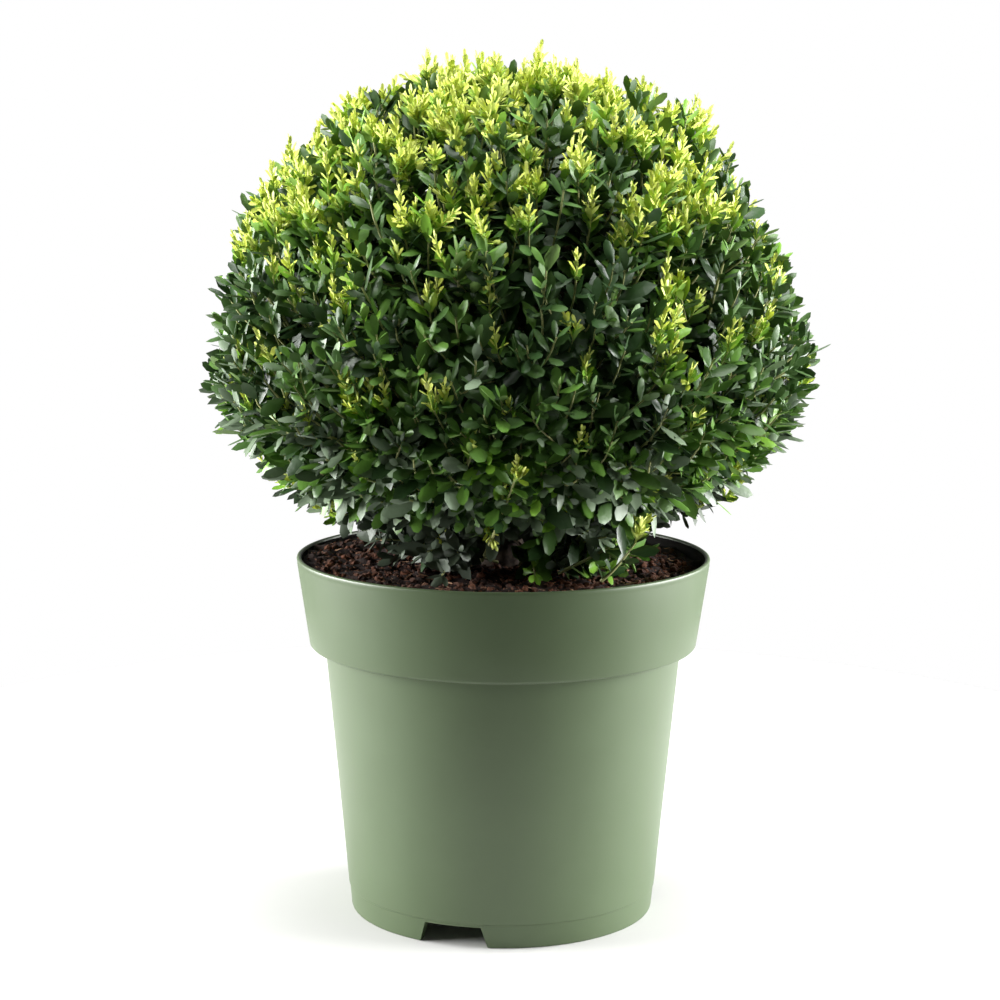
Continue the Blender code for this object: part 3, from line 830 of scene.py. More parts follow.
@dataclass
class PottingMix:
    """The potting mix: a bed of damp peat with crumbs of bark and fibre all over its top."""

    pot: Pot
    top: float = 0.2272
    rings: int = 56
    steps: int = 160
    lumps: tuple = ((24.0, 0.0022), (8.0, 0.0036))
    heap: float = 0.0022
    slope: float = 0.0030
    edge_gap: float = 0.0006
    crumb_density: float = 72000.0
    smallest: float = 0.0007
    largest: float = 0.0044
    rarity: float = 3.0
    crumb_tilt: float = 0.5
    crumb_dent: float = 0.45
    crumb_shapes: tuple = (
        (Crumb.PEAT, 8, (1.0, 0.9, 0.8)),
        (Crumb.BARK, 3, (1.1, 0.85, 0.5)),
        (Crumb.FIBRE, 1, (2.2, 0.26, 0.2)),
    )

    def bed_height(self, x: float, y: float) -> float:
        """Gives the height of the bed: heaped a little, higher on the left, with lumps in two sizes.

        Args:
            x: The place across the pot.
            y: The place from front to back.

        Returns:
            The height there.
        """
        height = self.top + self.heap - self.slope * x / self.pot.rim_radius
        for size_mm, depth in self.lumps:
            height += depth * noise.noise(Vector((x, y, 0.0)) * waves_in(size_mm))
        return height

    def build_bed(self) -> bpy.types.Mesh:
        """Makes the bed as one closed plug whose top is uneven.

        Returns:
            Its mesh.
        """
        pot, gap = self.pot, self.edge_gap
        floor_top = pot.floor_height + pot.wall + gap
        ledge = pot.ledge + pot.wall + gap
        edge = pot.inner_radius(self.top) - 2 * gap
        section = [
            (0.0, floor_top),
            (pot.wall_radius(floor_top) - pot.wall - gap, floor_top),
            (pot.body_top_radius - pot.wall - 2 * gap, ledge),
            (pot.collar_foot_radius - 2 * pot.wall - 2 * gap, ledge + gap),
        ]
        section += [(edge * (1 - step / self.rings), self.top) for step in range(self.rings + 1)]
        bed = turned("potting_mix_bed", section, self.steps)
        for point in bed.data.vertices:
            if point.co.z > self.top - gap / 2:
                point.co.z = self.bed_height(point.co.x, point.co.y)
        bed.data.materials.append(PEAT_BED.material())
        bed.data.shade_smooth()
        finished(bed, Slot.MIX, ["potting_mix"])
        return bed.data

    def crumb_meshes(self) -> Iterator[bpy.types.Mesh]:
        """Makes broken pieces of unit size: lumps of peat, flat chips of bark and a fibre.

        Returns:
            One mesh after another.
        """
        chance = random.Random(SEED)
        for _, count, sizes in self.crumb_shapes:
            for _ in range(count):
                shape = bmesh.new()
                bmesh.ops.create_icosphere(shape, subdivisions=1, radius=1.0)
                for corner in shape.verts:
                    dent = 1 - chance.uniform(0.0, self.crumb_dent)
                    corner.co = Vector([part * size * dent for part, size in zip(corner.co, sizes)])
                yield mesh_of("crumb", shape)

    def build_crumbs(self, bed: bpy.types.Mesh) -> None:
        """Scatters crumbs over the bed's top with geometry nodes.

        Args:
            bed: The bed's mesh, of which a copy is used.
        """
        kinds = [kind for kind, count, _ in self.crumb_shapes for _ in range(count)]
        forms = shelf("crumb_forms", self.crumb_meshes())
        inputs = {
            "Density": self.crumb_density,
            "Smallest": self.smallest,
            "Largest": self.largest,
            "Reach": self.pot.inner_radius(self.top) - self.largest - self.edge_gap,
            "Top": self.top - self.heap,
            "Seed": SEED,
        }
        recipe = Recipe("scattered_crumbs", inputs, ["form"])
        add, given = recipe.add, recipe.given
        seed = {"Seed": given["Seed"]}
        place = add("GeometryNodeInputPosition").outputs[0]
        parts = add("ShaderNodeSeparateXYZ", links={0: place}).outputs
        flat = add("ShaderNodeCombineXYZ", links={"X": parts["X"], "Y": parts["Y"]}).outputs[0]
        reach = add("ShaderNodeVectorMath", {"operation": "LENGTH"}, {0: flat}).outputs["Value"]
        tests = ((reach, "LESS_THAN", given["Reach"]), (parts["Z"], "GREATER_THAN", given["Top"]))
        on_top = {}
        for number, (value, operation, limit) in enumerate(tests):
            links = {0: value, 1: limit}
            on_top[number] = add("FunctionNodeCompare", {"operation": operation}, links).outputs[0]
        chosen = add("FunctionNodeBooleanMath", {"operation": "AND"}, on_top).outputs[0]
        links = {"Mesh": given["Geometry"], "Selection": chosen, "Density": given["Density"], **seed}
        spots = add("GeometryNodeDistributePointsOnFaces", {"distribute_method": "RANDOM"}, links)
        pick = add("FunctionNodeRandomValue", {"data_type": "INT", 4: 0, 5: len(kinds) - 1}, seed)
        settings = {"data_type": "INT", "domain": "POINT", "Name": "form"}
        links = {"Geometry": spots.outputs["Points"], "Value": pick.outputs[2]}
        dealt = add("GeometryNodeStoreNamedAttribute", settings, links).outputs[0]
        draw = add("FunctionNodeRandomValue", {"data_type": "FLOAT"}, seed)
        rare = add("ShaderNodeMath", {"operation": "POWER", 1: self.rarity}, {0: draw.outputs[1]})
        links = {"Value": rare.outputs[0], "To Min": given["Smallest"], "To Max": given["Largest"]}
        size = add("ShaderNodeMapRange", links=links).outputs[0]
        tilt = self.crumb_tilt
        settings = {"data_type": "FLOAT_VECTOR", 0: (-tilt, -tilt, 0.0), 1: (tilt, tilt, math.tau)}
        angles = add("FunctionNodeRandomValue", settings, seed).outputs[0]
        turn = add("FunctionNodeEulerToRotation", links={0: angles}).outputs[0]
        finishes = {number: [MIX_FINISHES[kind]] for number, kind in enumerate(kinds)}
        recipe.end(recipe.deal(dealt, forms, turn, size), "form", finishes)
        finished(recipe.run("potting_mix_crumbs", bed.copy()), Slot.MIX)
        clear_shelf(forms)


# Crown, trunk and masses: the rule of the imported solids


@dataclass
class Crown:
    """The clipped ball: wide and round above, flatter below, with low foliage at its foot."""

    centre: Vector = field(default_factory=lambda: Vector((0.0022, 0.0, 0.3560)))
    radius: float = 0.2005
    rise: float = 0.2020
    drop: float = 0.1210
    squareness: float = 2.15
    low_squareness: float = 2.0
    lowest_leaf: float = 0.2290
    foot_top: float = 0.2700
    foot_spread: float = 0.1160
    lump_depth: float = 0.016
    lump_waves: float = 3.1
    bulges: tuple = (
        (-41, 0.11), (-140, 0.15), (56, 0.035), (100, 0.03),
        (140, 0.01), (28, -0.03), (172, -0.04), (-153, -0.03),
    )
    bulge_tightness: float = 40.0

    def bulge(self, away: Vector) -> float:
        """How far the shears left the outline out or in, in one direction.

        Args:
            away: The way from the ball's middle.

        Returns:
            A factor near 1.
        """
        out = away.normalized()
        factor = 1.0
        for degrees, depth in self.bulges:
            angle = math.radians(degrees)
            facing = max(0.0, out.x * math.cos(angle) + out.z * math.sin(angle))
            factor += depth * facing**self.bulge_tightness
        return factor

    def share(self, point: Vector) -> float:
        """How far out a point lies.

        Args:
            point: The point.

        Returns:
            0 at the ball's middle, 1 on its clipped outline.
        """
        away = point - self.centre
        level = math.hypot(away.x, away.y) / self.radius
        upright = abs(away.z) / (self.rise if away.z > 0 else self.drop)
        power = self.squareness if away.z > 0 else self.low_squareness
        return (level**power + upright**power) ** (1 / power) / self.bulge(away)

    def in_foot(self, point: Vector) -> bool:
        """Whether a point lies in the low foliage between the ball and the potting mix."""
        return point.z <= self.foot_top and math.hypot(point.x, point.y) <= self.foot_spread

    def spot(self, way: Vector, share: float) -> Vector:
        """Finds the point that lies a share of the way out to the outline.

        Args:
            way: The direction from the ball's middle.
            share: The share.

        Returns:
            The point.
        """
        drop = self.rise if way.z > 0 else self.drop
        away = Vector((way.x * self.radius, way.y * self.radius, way.z * drop))
        return self.centre + away * share / self.share(self.centre + away)

    def lump(self, way: Vector) -> float:
        """How much the clipped surface stands out or in, in one direction, as a factor near 1."""
        return 1 + self.lump_depth * noise.noise(way * self.lump_waves)

    def height_share(self, point: Vector) -> float:
        """How high a point lies: 1 at the ball's top, 0 at its middle, -1 at its foot."""
        away = point.z - self.centre.z
        return away / (self.rise if away > 0 else self.drop)


@dataclass
class Trunk:
    """The trunk: a root flare that dies away, an even taper and a slight lean."""

    soil_top: float = 0.2250
    top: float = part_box("trunk")[1].z
    lean: Vector = field(default_factory=lambda: Vector((0.006, 0.003, 0.0)))
    flare_radius: float = 0.0185
    foot_radius: float = 0.0135
    top_radius: float = 0.0078
    flare_fade: float = 11.0
    sunk: float = 0.004
    sides: int = 36
    stations: int = 44

    def line(self, height: float) -> Vector:
        """The trunk's middle at a height."""
        share = (height - self.soil_top) / (self.top - self.soil_top)
        return Vector((0, 0, height)) + self.lean * share * share

    def thickness(self, height: float) -> float:
        """Gives the trunk's radius.

        Args:
            height: The height.

        Returns:
            The radius there.
        """
        share = max(0.0, (height - self.soil_top) / (self.top - self.soil_top))
        flare = (self.flare_radius - self.foot_radius) * math.exp(-share * self.flare_fade)
        return self.foot_radius + (self.top_radius - self.foot_radius) * share + flare


@dataclass
class Mass:
    """One mass of foliage: its place, the point of the trunk that feeds it, and where its bough ends."""

    name: str
    zone: Zone
    centre: Vector
    heart: Vector
    root: Vector
    door_share: float = 0.5

    @property
    def away(self) -> Vector:
        """The way from the trunk to the mass."""
        return (self.centre - self.heart).normalized()

    @property
    def door(self) -> Vector:
        """Where the bough ends and the mass's stem starts."""
        return self.heart.lerp(self.centre, self.door_share)


@dataclass
class Masses:
    """The masses of the plant: one on top, two rings round the ball, and low sprays at its foot."""

    crown: Crown
    trunk: Trunk
    distance: float = 0.135
    rings: tuple = (
        ("upper", 5, math.radians(33), math.radians(-90), 0.3040),
        ("lower", 6, math.radians(-18), math.radians(-62), 0.2680),
    )
    bough_stagger: float = 0.0130
    bough_end: float = 0.0030
    low_sprays: tuple = (
        ("low_front_left", math.radians(-126), 0.064, 0.2600),
        ("low_front_right", math.radians(-57), 0.076, 0.2500),
        ("low_back_right", math.radians(48), 0.066, 0.2580),
        ("low_back_left", math.radians(146), 0.068, 0.2560),
    )

    def every(self) -> list[Mass]:
        """Places every mass. A ring has a level, a count, a rise, a first turn and its boughs' height.

        Returns:
            The masses from the top down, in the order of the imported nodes.
        """
        line, centre = self.trunk.line, self.crown.centre
        heart, root = line(self.trunk.top), line(self.trunk.top - self.bough_end)
        made = [Mass("foliage_top", Zone.TOP, centre + UP * self.distance, heart, root)]
        for level_name, count, rise, turn, base in self.rings:
            heart = line(base + self.bough_stagger)
            for index in range(count):
                angle = turn + math.tau * index / count
                level = math.cos(rise)
                out = Vector((math.cos(angle) * level, math.sin(angle) * level, math.sin(rise)))
                root = line(base + self.bough_stagger * (len(made) % 2))
                place = centre + out * self.distance
                zone = Zone(level_name + ("_front" if place.y < 0 else "_back"))
                made.append(Mass(f"foliage_{level_name}_{index + 1}", zone, place, heart, root))
        for name, angle, distance, height in self.low_sprays:
            place = Vector((math.cos(angle) * distance, math.sin(angle) * distance, height))
            made.append(Mass(name, Zone.FOOT, place, line(height), line(height), door_share=0.0))
        return made


# Wood


@dataclass
class Limbs:
    """The trunk and the boughs, with the relief of their bark."""

    trunk: Trunk
    masses: list[Mass]
    root_radius: float = 0.0046
    tip_radius: float = 0.0030
    leader_thickness: float = 1.5
    sag: float = 0.06
    first_pull: float = 0.35
    last_pull: float = 0.4
    path_steps: int = 22
    bough_sides: int = 14
    furrow_mm: float = 5.0
    furrow_depth: float = 0.10
    furrow_stretch: float = 0.25
    knot_mm: float = 16.0
    knot_depth: float = 0.13
    knot_drift: float = 40.0
    knot_rarity: float = 0.15

    def bough_path(self, mass: Mass) -> list[Vector]:
        """Draws the middle line of one bough.

        Args:
            mass: The mass that it feeds.

        Returns:
            Points from the trunk to the mass's stem.
        """
        tip = mass.door
        span = (tip - mass.root).length
        first = mass.root + (tip - mass.root) * self.first_pull - UP * self.sag * span
        last = tip - mass.away * span * self.last_pull
        path = []
        for step in range(self.path_steps + 1):
            share = step / self.path_steps
            rest = 1 - share
            near = mass.root * rest**3 + first * 3 * rest**2 * share
            path.append(near + last * 3 * rest * share**2 + tip * share**3)
        return path

    def bark_relief(self, place: Vector, along: float) -> float:
        """How far the bark stands out: long furrows and a few knots.

        Args:
            place: A place on the limb.
            along: How far along the limb it is, from 0 to 1.

        Returns:
            A factor near 1.
        """
        stretched = Vector((place.x, place.y, place.z * self.furrow_stretch))
        furrow = noise.noise(stretched * waves_in(self.furrow_mm))
        knot = noise.noise(place * waves_in(self.knot_mm) + Vector((0, 0, along * self.knot_drift)))
        return 1 + self.furrow_depth * furrow + self.knot_depth * max(0.0, knot - self.knot_rarity)

    def skin(
        self, shape: bmesh.types.BMesh, path: Sequence[Vector], radii: Sequence[float], sides: int
    ) -> None:
        """Adds one limb's closed skin to a shape.

        Args:
            shape: The shape that the limb joins.
            path: The limb's middle line.
            radii: Its thickness at each point.
            sides: How many sides it has.
        """
        side = (path[1] - path[0]).normalized().orthogonal().normalized()
        rings = []
        for index, (place, radius) in enumerate(zip(path, radii)):
            along = (path[min(index + 1, len(path) - 1)] - path[max(index - 1, 0)]).normalized()
            side = (side - along * side.dot(along)).normalized()
            other = along.cross(side)
            ring = []
            for step in range(sides):
                turn = math.tau * step / sides
                out = side * math.cos(turn) + other * math.sin(turn)
                reach = radius * self.bark_relief(place + out * radius, index / len(path))
                ring.append(shape.verts.new(place + out * reach))
            rings.append(ring)
        for low, high in zip(rings, rings[1:]):
            for step in range(sides):
                after = (step + 1) % sides
                shape.faces.new((low[step], low[after], high[after], high[step]))
        shape.faces.new(reversed(rings[0]))
        shape.faces.new(rings[-1])

    def dressed(self, name: str, shape: bmesh.types.BMesh, stands_for: Sequence[str]) -> None:
        """Turns a shape to a piece with bark on it.

        Args:
            name: The piece's name.
            shape: The shape.
            stands_for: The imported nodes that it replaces.
        """
        made = new_object(name, mesh_of(name, shape))
        made.data.materials.append(HOLLY_BARK.material())
        made.data.shade_smooth()
        finished(made, Slot.BARK, stands_for)

    def build(self) -> None:
        """Makes the trunk, then all the boughs as one piece."""
        trunk, foot = self.trunk, self.trunk.soil_top - self.trunk.sunk
        heights = [foot + (trunk.top - foot) * step / trunk.stations for step in range(trunk.stations + 1)]
        shape = bmesh.new()
        path = [trunk.line(height) for height in heights]
        self.skin(shape, path, [trunk.thickness(height) for height in heights], trunk.sides)
        self.dressed("trunk_bark", shape, ["trunk"])
        shape = bmesh.new()
        boughs = [mass for mass in self.masses if mass.zone is not Zone.FOOT]
        for mass in boughs:
            path = self.bough_path(mass)
            thick = self.root_radius * (self.leader_thickness if mass.zone is Zone.TOP else 1.0)
            taper = (self.tip_radius - thick) / (len(path) - 1)
            self.skin(shape, path, [thick + taper * step for step in range(len(path))], self.bough_sides)
        self.dressed("bough_bark", shape, [mass.name.replace("foliage", "bough") for mass in boughs])


# Leaves and twigs


@dataclass(frozen=True)
class Blade:
    """The shape of one leaf of unit length: obovate, folded or domed along its midrib, and arched."""

    width: float = 0.44
    fold: float = 0.10
    dome: float = 0.0
    arch: float = 0.10
    twist: float = 0.0
    thickness: float = 0.030
    stations: tuple = (0.15, 0.52, 0.86)
    widths: tuple = (0.42, 1.00, 0.70)

    def row(self, along: float, share: float) -> Iterator[tuple[float, float, float]]:
        """Places the corners of one station: left edge, midrib, right edge and the midrib's underside.

        Args:
            along: How far along the blade it is.
            share: How wide the blade is there.

        Returns:
            One place after another.
        """
        half = self.width / 2 * share
        sag, turn = -self.arch * along * along, self.twist * along
        edge, rib = half * self.fold * 2, self.dome * half
        for across, lift in ((-half, edge), (0.0, rib), (half, edge), (0.0, rib - self.thickness)):
            x = across * math.cos(turn) - lift * math.sin(turn)
            yield x, along, sag + (across * math.sin(turn) + lift * math.cos(turn))

    def build(self) -> bpy.types.Mesh:
        """Makes the closed blade, with its underside marked.

        Returns:
            Its mesh: root at the origin, tip along +Y, upper side +Z.
        """
        shape = bmesh.new()
        under = shape.faces.layers.bool.new("under")
        root = shape.verts.new((0.0, 0.0, 0.0))
        tip = shape.verts.new((0.0, 1.0, -self.arch))
        stations = zip(self.stations, self.widths)
        rows = [[shape.verts.new(place) for place in self.row(*station)] for station in stations]
        for middle, below in ((1, False), (3, True)):
            for left, right in ((0, middle), (middle, 2)):
                made = [(root, rows[0][right], rows[0][left])]
                made += [(a[left], a[right], b[right], b[left]) for a, b in zip(rows, rows[1:])]
                made.append((rows[-1][left], rows[-1][right], tip))
                for corners in made:
                    face = shape.faces.new(corners[::-1] if below else corners)
                    face[under] = below
                    face.smooth = True
        for edge in shape.edges:
            edge.smooth = len({face[under] for face in edge.link_faces}) == 1
        return mesh_of("blade", shape)


BLADES = {
    Form.FLAT: Blade(fold=-0.05, dome=0.04, arch=0.06),
    Form.ARCHED: Blade(width=0.42, fold=-0.14, dome=0.08, arch=0.18),
    Form.CUPPED: Blade(width=0.38, fold=0.16, arch=-0.06),
    Form.TWISTED: Blade(width=0.40, fold=-0.08, dome=0.06, arch=0.12, twist=0.5),
    Form.YOUNG: Blade(width=0.46, fold=0.16, arch=-0.10, stations=(0.34, 0.80), widths=(0.78, 0.92)),
    Form.BUD: Blade(width=0.40, fold=0.22, arch=-0.14, stations=(0.34, 0.80), widths=(0.84, 0.82)),
    Form.INNER: Blade(width=0.45, dome=0.04, arch=0.10, stations=(0.34, 0.76), widths=(0.84, 0.90)),
}


@dataclass
class Leaves:
    """Leaves of one piece: a place, a turn, a size, a form and a tint for each."""

    places: list[Vector] = field(default_factory=list)
    turns: list[Quaternion] = field(default_factory=list)
    sizes: list[float] = field(default_factory=list)
    forms: list[int] = field(default_factory=list)
    tints: list[int] = field(default_factory=list)

    def add(self, root: Vector, way: Vector, face: Vector, size: float, form: Form, tint: Tint) -> None:
        """Adds one leaf.

        Args:
            root: Where it joins its twig.
            way: Where its tip points.
            face: Where its upper side looks, more or less.
            size: Its length.
            form: Its blade.
            tint: Its colour.
        """
        side = way.cross(face).normalized()
        self.places.append(root)
        self.turns.append(Matrix((side, way, side.cross(way))).transposed().to_quaternion())
        self.sizes.append(size)
        self.forms.append(int(form))
        self.tints.append(int(tint))

    def carrier(self) -> bpy.types.Mesh:
        """Gives the leaves as loose points that carry their facts.

        Returns:
            The mesh.
        """
        turns = [part for turn in self.turns for part in turn]
        facts = {"turn": turns, "size": self.sizes, "form": self.forms, "tint": self.tints}
        return carrier(self.places, [], facts)


@dataclass
class Twigs:
    """Twigs of one piece: a line of points with a thickness at each, and an age."""

    points: list[Vector] = field(default_factory=list)
    radii: list[float] = field(default_factory=list)
    links: list[tuple[int, int]] = field(default_factory=list)
    ages: list[int] = field(default_factory=list)

    def add(self, line: Sequence[Vector], thick: float, thin: float, age: Wood) -> None:
        """Adds one twig.

        Args:
            line: Its points, from its root.
            thick: Its radius at its root.
            thin: Its radius at its tip.
            age: How old its wood is.
        """
        first, last = len(self.points), len(line) - 1
        self.points += line
        self.radii += [thick + (thin - thick) * index / last for index in range(last + 1)]
        self.ages += [int(age)] * (last + 1)
        self.links += [(first + index, first + index + 1) for index in range(last)]

    def carrier(self) -> bpy.types.Mesh:
        """The twigs as lines that carry their thickness and age."""
        return carrier(self.points, self.links, {"size": self.radii, "tint": self.ages})


@dataclass(frozen=True)
class TintRule:
    """How the colour of a spray goes by its height: 1 at the ball's top, 0 at its middle, -1 at its foot."""

    painted_shade_below: float = -0.54
    painted_shade_slope: float = 3.2
    painted_bounce_below: float = 0.16
    painted_bounce_slope: float = 0.85
    painted_bounce_most: float = 0.75
    # Painted light: bright and its slope make leaves just under the middle lighter, and dim makes them darker
    # at the foot.
    bright: float = 0.50
    bright_slope: float = 1.15
    bright_depth: float = 0.28
    bright_spread: float = 0.25
    dim_below: float = -0.55
    dim_slope: float = 0.7
    fresh_from: float = 0.98
    fresh_below: float = -0.1
    fresh_slope: float = 0.7
    green_from: float = 0.62
    dark_from: float = 0.30

    def pick(self, height: float, chance: random.Random) -> Tint:
        """Deals a colour to a spray.

        Args:
            height: How high it is on the ball.
            chance: The source of random numbers.

        Returns:
            The colour.
        """
        worn = chance.random()
        # Low on the ball, more and more sprays take the dark grey tint: painted shade under the ball.
        if worn < max(0.0, self.painted_shade_below - height) * self.painted_shade_slope:
            return Tint.DUSTY
        # Under the middle of the ball, sprays may take the pale grey-green: painted bounce light and sheen.
        if worn < min(self.painted_bounce_most, max(0.0, self.painted_bounce_below - height) * self.painted_bounce_slope):
            return Tint.DULL
        # Just under the middle, sprays are painted lighter to stand in for fill light. At the foot they are
        # painted darker as shade, and fresh tints grow rarer.
        bright = self.bright + self.bright_slope * min(self.bright_depth, max(0.0, -height))
        bright = bright - self.dim_slope * max(0.0, self.dim_below - height)
        bright += chance.gauss(0, self.bright_spread)
        if bright > self.fresh_from + self.fresh_slope * max(0.0, self.fresh_below - height):
            return Tint.FRESH
        if bright > self.green_from:
            return Tint.GREEN
        return Tint.DARK if bright > self.dark_from else Tint.DEEP


@dataclass(frozen=True)
class TipRule:
    """How likely a shoot is to end in lime leaves: most do near the top, and they come in patches."""

    least: float = 0.09
    most: float = 0.88
    slope: float = 1.50
    slowing: float = 0.58
    patch_gain: float = 1.2
    lack: float = 0.04
    patch_waves: float = 4.0
    patch_shift: Vector = field(default_factory=lambda: Vector((-26.5, 2.3, 41.2)))

    def odds(self, way: Vector, height: float) -> float:
        """Gives the odds for one shoot.

        Args:
            way: Its direction from the ball's middle.
            height: How high the outline is there.

        Returns:
            A share from 0 to 1.
        """
        patch = noise.noise(way * self.patch_waves + self.patch_shift)
        odds = self.slope * height - self.slowing * height**3 + self.patch_gain * patch - self.lack
        return min(self.most, max(self.least, odds))


@dataclass(frozen=True)
class Fan:
    """How leaves stand round a stem: by the golden angle, splayed wider the older they are, in degrees."""

    splay: float
    more_splay: float
    turn_spread: float
    splay_spread: float = 9.0

    def next(self, turn: float, along: Vector, age: float, chance: random.Random) -> tuple[float, Vector]:
        """Turns on to the next leaf.

        Args:
            turn: The turn of the leaf before.
            along: The stem's direction.
            age: How old the leaf is, from 0 to 1.
            chance: The source of random numbers.

        Returns:
            The leaf's turn and its direction.
        """
        turn += GOLDEN_ANGLE + chance.gauss(0, self.turn_spread)
        out = Matrix.Rotation(turn, 3, along) @ along.orthogonal().normalized()
        splay = math.radians(self.splay + self.more_splay * age + chance.gauss(0, self.splay_spread))
        return turn, along * math.cos(splay) + out * math.sin(splay)


@dataclass
class Foliage:
    """Grows branches, shoots and leaves in every mass, and turns them to pieces."""

    crown: Crown
    masses: list[Mass]
    limbs: Limbs
    tint_rule: TintRule = TintRule()
    tip_rule: TipRule = field(default_factory=TipRule)
    leaf_fan: Fan = Fan(18.0, 38.0, 0.25)
    tip_fan: Fan = Fan(14.0, 42.0, 0.2)
    band_foot: float = -0.92

    stem_radius: float = 0.0030
    branch_radius: float = 0.0017
    shoot_radius: float = 0.00100
    tip_radius: float = 0.00060
    branch_tip_share: float = 1.4
    young_radius_shares: tuple = (1.3, 0.8)
    twig_sides: int = 4
    stem_steps: int = 4
    line_steps: int = 6
    short_steps: int = 3
    low_steps: int = 5

    hub_count: int = 210
    hub_share: float = 0.68
    hub_spread: float = 0.05
    stem_used: float = 0.8
    branch_bow: float = 0.008
    branch_bend: float = 0.004

    inner_leaf_count: int = 13
    inner_leaf_length: float = 0.0225
    inner_leaf_spread: float = 0.15
    inner_from: float = 0.25
    inner_along: float = 0.5
    inner_jitter: float = 0.8
    inner_face_up: float = 0.6
    spur_count: int = 16
    spur_length: tuple = (0.012, 0.040)
    spur_rise: float = 0.003
    bare_part: int = 4

    shoot_count: int = 1800
    shoot_reach: float = 0.931
    shoot_spread: float = 0.040
    tip_room: float = 0.058
    low_tip_room: float = 0.036
    waist: float = 0.11
    shelter: float = 0.035
    scatter: float = 0.050
    shoot_clearance: float = 0.004
    lift: tuple = (0.25, 0.56, 0.32, 0.66)
    aim_jitter: float = 0.15
    foot_share: float = 0.75
    shoot_pull: float = 0.6
    shoot_roots: tuple = (-1, -1, -2)
    top_gain: float = 2.0

    leafy_length: float = 0.060
    leaf_reach: float = 1.040
    leaf_spacing: float = 0.0045
    spacing_growth: tuple = (0.35, 0.65)
    spacing_spread: float = 0.25
    leaf_length: float = 0.0180
    length_growth: tuple = (0.58, 0.42)
    leaf_spread: float = 0.18
    leaf_rise: float = 0.10
    face_parts: tuple = (0.6, 0.35, 0.35, 0.22)
    size_spread: float = 0.06
    first_gap: tuple = (0.0002, 0.0008)
    growing_leaves: int = 4
    limed_leaves: int = 3
    spring_share: float = 0.35
    lit_leaves: int = 5
    deep_share: float = 0.35
    shaped_leaves: int = 7

    tip_up: tuple = (0.6, 0.5)
    rich_above: float = 0.35
    second_stem: float = 0.5
    more_stems: tuple = (1.8, 1.6, 1.2, 1.0)
    stem_splay: float = 0.50
    tip_length: tuple = (0.008, 0.026, 0.012)
    rich_shortening: float = 0.006
    side_stem_share: float = 0.8
    stem_bend: float = 0.0010
    young_length: float = 0.0066
    young_growth: tuple = (0.75, 0.55, 0.14)
    young_spread: float = 0.2
    young_jitter: float = 0.12
    young_gap: tuple = (0.0011, 0.0021)
    young_first_gap: float = 0.0002
    splay_power: float = 0.6
    bud_leaves: int = 3
    tone_spread: float = 0.22
    yellow_to: float = 0.32
    lime_to: float = 0.80

    low_shoot_count: int = 46
    low_reach: float = 0.046
    low_lean: float = 0.017
    low_gap: float = 0.019
    low_gap_top: float = 0.262
    low_foot_share: float = 0.55
    low_foot_rise: float = 0.003
    low_stem_rise: float = 0.004
    low_stem_shares: tuple = (0.7, 0.8)
    low_band: tuple = (0.9, -0.8)
    low_flatness: float = 0.75
    low_fill: tuple = (0.45, 1.0)
    low_clearance: float = 0.005
    low_margin: float = 0.008
    low_foot_spread: float = 0.006
    low_foot_depth: float = 0.008
    low_shoot_rise: float = 0.007
    low_tints: tuple = (-0.9, -0.2)
    sprigs: tuple = (
        ((0.034, -0.074, 0.236), (0.082, -0.074, 0.264)),
        ((-0.012, -0.080, 0.248), (0.006, -0.174, 0.309)),
        ((0.060, -0.100, 0.236), (0.080, -0.112, 0.262)),
    )
    sprig_sag: float = -0.004
    sprig_thickness: float = 1.2
    sprig_heights: tuple = (0.2, 0.6)

    def __post_init__(self) -> None:
        """Starts the pieces' lists."""
        self.chance = random.Random(SEED)
        self.leaves: dict[Zone, Leaves] = {zone: Leaves() for zone in Zone}
        self.tips: dict[Zone, Leaves] = {zone: Leaves() for zone in Zone}
        self.twigs: dict[Zone, Twigs] = {zone: Twigs() for zone in Zone}

    def nearest(self, point: Vector) -> Mass:
        """The mass of the ball whose middle is nearest to a point."""
        choice = [mass for mass in self.masses if mass.zone is not Zone.FOOT]
        return min(choice, key=lambda mass: (mass.centre - point).length)

    def jitter(self, size: float) -> Vector:
        """A small random offset."""
        return Vector([self.chance.gauss(0, size) for _ in range(3)])

    def allowed(self, point: Vector, limit: float) -> bool:
        """Whether a leaf's end may be at a point."""
        inside = self.crown.share(point) <= limit or self.crown.in_foot(point)
        return inside and point.z >= self.crown.lowest_leaf

    def grow(self) -> None:
        """Grows the ball, then the low sprays."""
        branches = self.grow_branches()
        for index in range(self.shoot_count):
            way = golden_way(index, self.shoot_count, 1.0, self.band_foot)
            self.grow_outer_shoot((way + self.jitter(self.scatter)).normalized(), branches)
        for mass in self.masses:
            if mass.zone is Zone.FOOT:
                self.grow_low_spray(mass)
        for start, end in self.sprigs:
            self.grow_sprig(Vector(start), Vector(end))

